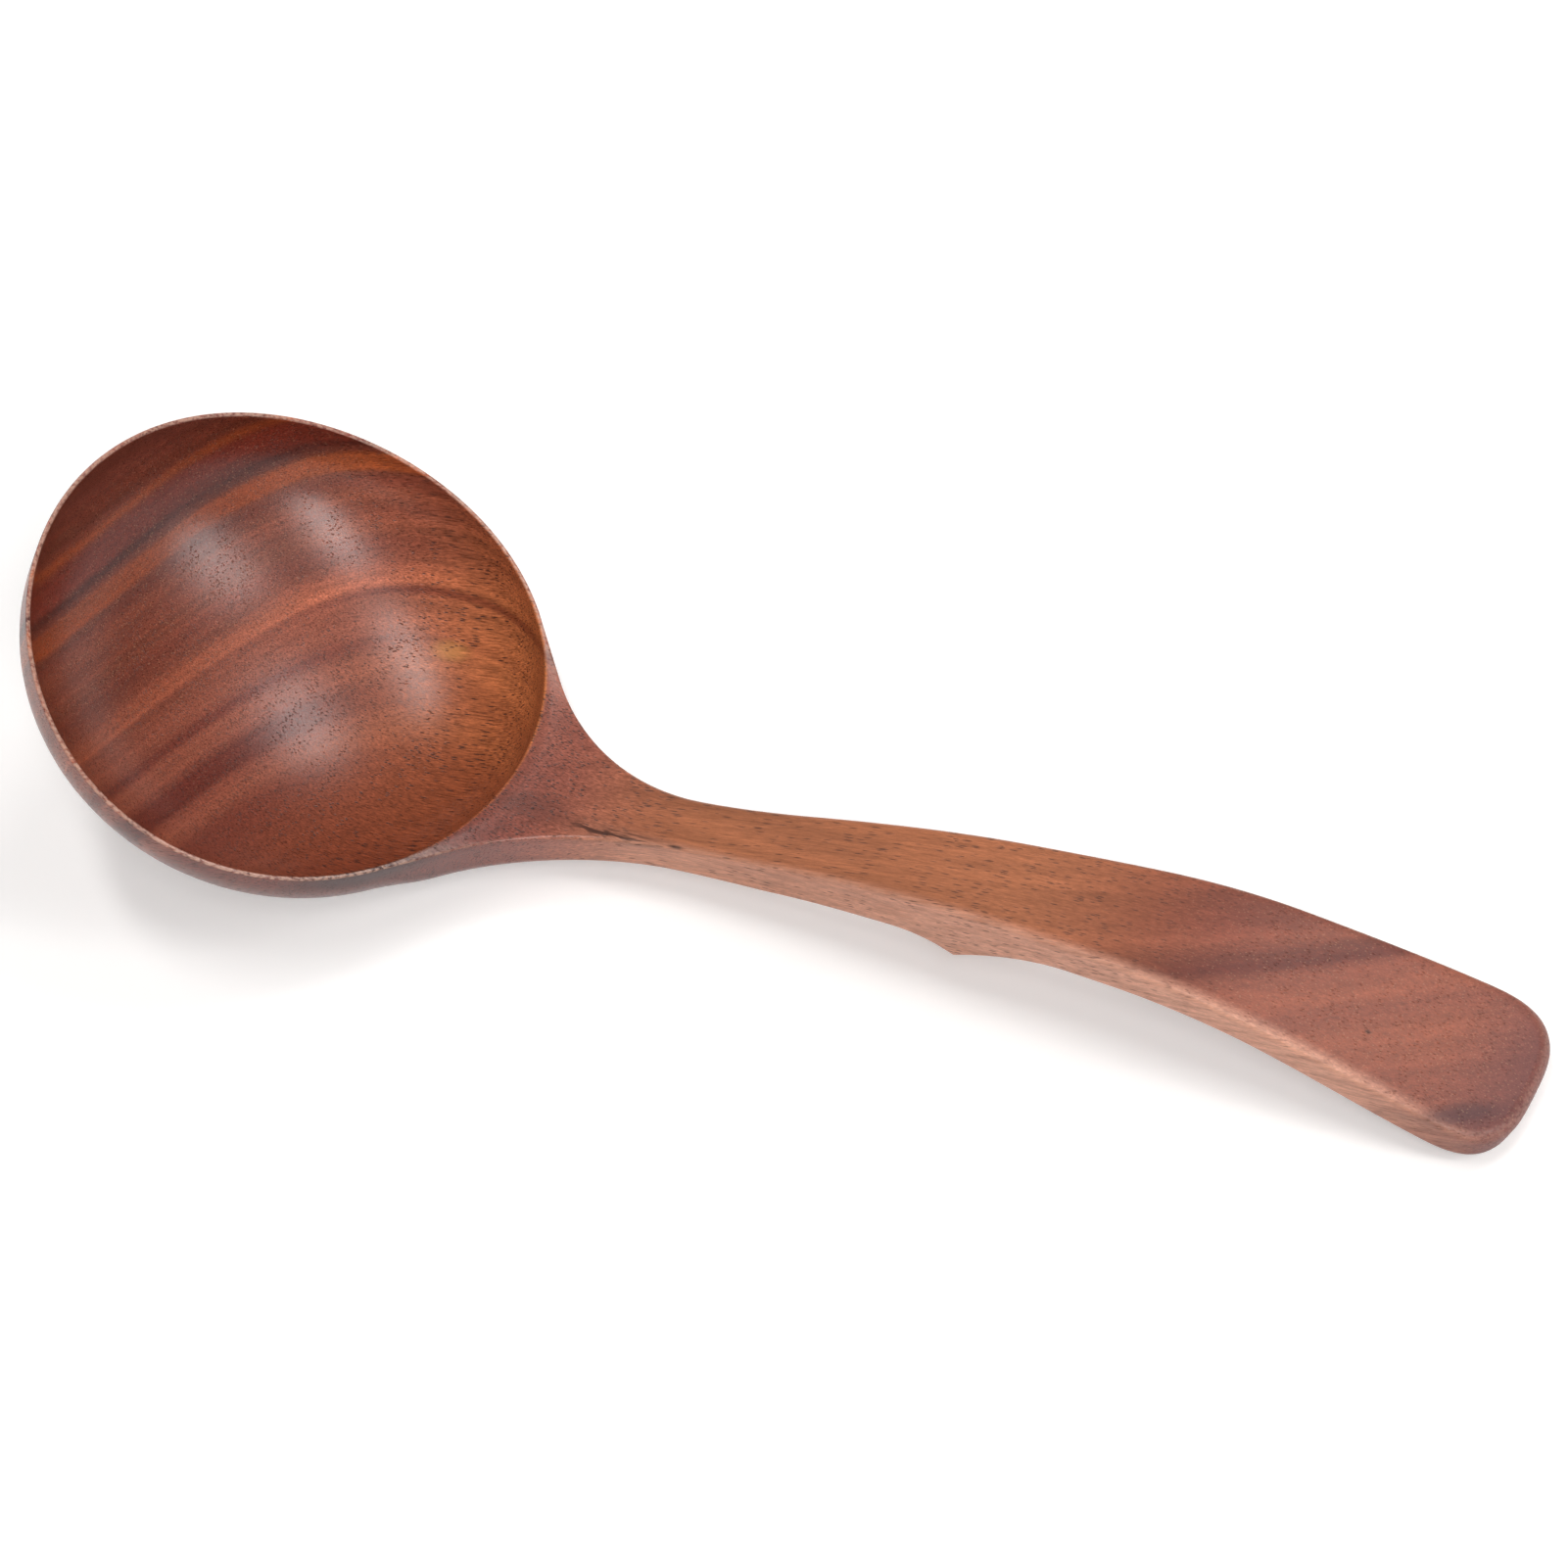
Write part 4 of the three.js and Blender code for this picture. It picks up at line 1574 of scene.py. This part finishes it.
@dataclass(frozen=True)
class PaleFloor:
    """The floor's finish: matt and pale, and a touch brighter to the camera, more so up the sweep."""

    colour: str = "e6e4e2"
    roughness: float = 0.9
    floor_lift: float = 0.34
    sweep_lift: float = 0.60

    def make(self, sweep_radius: float) -> bpy.types.Material:
        """Makes the material.

        Args:
            sweep_radius: how high the floor turns up.

        Returns:
            The material.
        """
        material, nodes = empty_material("pale_floor")
        at = nodes.add("ShaderNodeTexCoord").outputs["Object"]
        height = nodes.add("ShaderNodeSeparateXYZ", {0: at}).outputs["Z"]
        lifts = {"To Min": self.floor_lift, "To Max": self.sweep_lift}
        rise = {"Value": height, "From Max": sweep_radius, **lifts}
        glow = nodes.add("ShaderNodeMapRange", rise).outputs["Result"]
        look = {
            "Base Color": srgb(self.colour),
            "Roughness": self.roughness,
            "Specular IOR Level": 0.0,
            "Emission Color": WHITE,
            "Emission Strength": nodes.times(seen_ray(nodes), glow),
        }
        shader = nodes.add("ShaderNodeBsdfPrincipled", look)
        nodes.add("ShaderNodeOutputMaterial", {"Surface": shader.outputs[0]})
        return material


@dataclass
class Studio:
    """The floor, the lamps and the camera. The camera's places are in the level ladle's millimetres."""

    eye: Triple = (84.04, -494.04, 820.55)
    forward: Triple = (-0.0033, 0.5365, -0.8439)
    right: Triple = (0.8526, 0.4425, 0.2780)
    focal_pixels: float = 6000.0
    sensor: float = 36.0
    clip: Pair = (0.01, 20.0)
    floor_radius: float = 2.0
    floor_steps: int = 64
    floor_weld: float = 0.0001
    sweep_radius: float = 0.7
    sweep_height: float = 0.72
    sweep_steps: int = 8
    sky_light: float = 0.12
    lamp_distance: float = 4.0
    lamp_width: float = 0.54
    softboxes: tuple[Softbox, ...] = (
        Softbox("right_softbox", (0.82, 0.045, 0.57), (-0.558, 0.259, 0.788), 2.1, 50.0),
        Softbox("front_softbox", (0.52, -0.53, 0.67), (-0.477, 0.489, 0.731), 2.4, 66.0),
        Softbox("top_softbox", (-0.03, -0.03, 0.999), (-0.744, 0.668, 0.0), 2.25, 47.0),
        Softbox("back_softbox", (0.22, 0.455, 0.863), (-0.857, 0.514, -0.014), 1.5, 33.0),
    )

    def build(self, ladle: Ladle) -> None:
        """Makes the floor, the light and the camera.

        Args:
            ladle: the ladle, for the way it lies.
        """
        self.make_floor()
        self.make_sky()
        for softbox in self.softboxes:
            self.make_lamp(softbox, ladle)
        self.make_camera(ladle)

    def make_floor(self) -> None:
        """Makes the round floor and the sweep that it turns up into."""
        turns = np.linspace(0, math.pi / 2, self.sweep_steps + 1)
        flat, bend = self.floor_radius, self.sweep_radius
        profile = [(0.0, 0.0)] + [(flat + bend * math.sin(t), bend * (1 - math.cos(t))) for t in turns]
        profile.append((flat + bend, self.sweep_height))
        work = bmesh.new()
        verts = [work.verts.new((out, 0, up)) for out, up in profile]
        edges = [work.edges.new(pair) for pair in zip(verts, verts[1:])]
        circle = {"axis": (0, 0, 1), "cent": (0, 0, 0), "steps": self.floor_steps, "angle": 2 * math.pi}
        bmesh.ops.spin(work, geom=verts + edges, **circle)
        bmesh.ops.remove_doubles(work, verts=work.verts, dist=self.floor_weld)
        bmesh.ops.recalc_face_normals(work, faces=work.faces)
        mesh = bpy.data.meshes.new("floor")
        work.to_mesh(mesh)
        work.free()
        mesh.shade_smooth()
        mesh.materials.append(PaleFloor().make(bend))
        floor = bpy.data.objects.new("floor", mesh)
        bpy.context.scene.collection.objects.link(floor)
        log.info("floor: %.1f m across", 2 * flat)

    def make_sky(self) -> None:
        """Lights the scene evenly from all round."""
        world = bpy.data.worlds.new("studio")
        bpy.context.scene.world = world
        world.use_nodes = True
        world.node_tree.nodes.clear()
        nodes = Nodes(world.node_tree)
        sky = nodes.add("ShaderNodeBackground", {"Color": WHITE, "Strength": self.sky_light})
        nodes.add("ShaderNodeOutputWorld", {"Surface": sky.outputs[0]})

    def make_lamp(self, softbox: Softbox, ladle: Ladle) -> None:
        """Hangs one softbox, facing the bowl.

        Args:
            softbox: the lamp.
            ladle: the ladle, for the way it lies.
        """
        lamp = bpy.data.lights.new(softbox.name, "AREA")
        lamp.shape, lamp.energy = "RECTANGLE", softbox.power
        lamp.size, lamp.size_y = softbox.length, self.lamp_width
        hung = bpy.data.objects.new(softbox.name, lamp)
        towards = Vector(softbox.towards).normalized()
        along = Vector(softbox.along)
        along = (along - towards * along.dot(towards)).normalized()
        axes = Matrix((along, towards.cross(along), towards)).transposed()
        hung.location = ladle.place.to_translation() + towards * self.lamp_distance
        hung.rotation_mode = "QUATERNION"
        hung.rotation_quaternion = axes.to_quaternion()
        bpy.context.scene.collection.objects.link(hung)
        log.info("%s: %.1f W", softbox.name, softbox.power)

    def make_camera(self, ladle: Ladle) -> None:
        """Sets the camera at the photograph's viewing angle.

        Args:
            ladle: the ladle, for the way it lies.
        """
        lens = bpy.data.cameras.new("camera")
        lens.sensor_width = self.sensor
        lens.lens = self.focal_pixels / PHOTO_PIXELS * self.sensor
        lens.clip_start, lens.clip_end = self.clip
        camera = bpy.data.objects.new("camera", lens)
        turn = ladle.place.to_quaternion().to_matrix()
        forward = (turn @ Vector(self.forward)).normalized()
        right = (turn @ Vector(self.right)).normalized()
        right = (right - forward * right.dot(forward)).normalized()
        axes = Matrix((right, right.cross(forward), -forward)).transposed()
        camera.rotation_mode = "QUATERNION"
        camera.rotation_quaternion = axes.to_quaternion()
        camera.location = ladle.place @ Vector(self.eye)
        bpy.context.scene.collection.objects.link(camera)
        bpy.context.scene.camera = camera
        log.info("camera: %.1f mm lens", lens.lens)


def main() -> None:
    """Builds the ladle and the studio."""
    logging.basicConfig(level=logging.INFO, format="%(name)s %(message)s")
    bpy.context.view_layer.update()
    ladle = Ladle()
    carved = ladle.build()
    carved.data.materials.append(OiledWood().make(ladle))
    Studio().build(ladle)
    bpy.context.scene.view_settings.view_transform = "Standard"


if __name__ == "__main__":
    main()
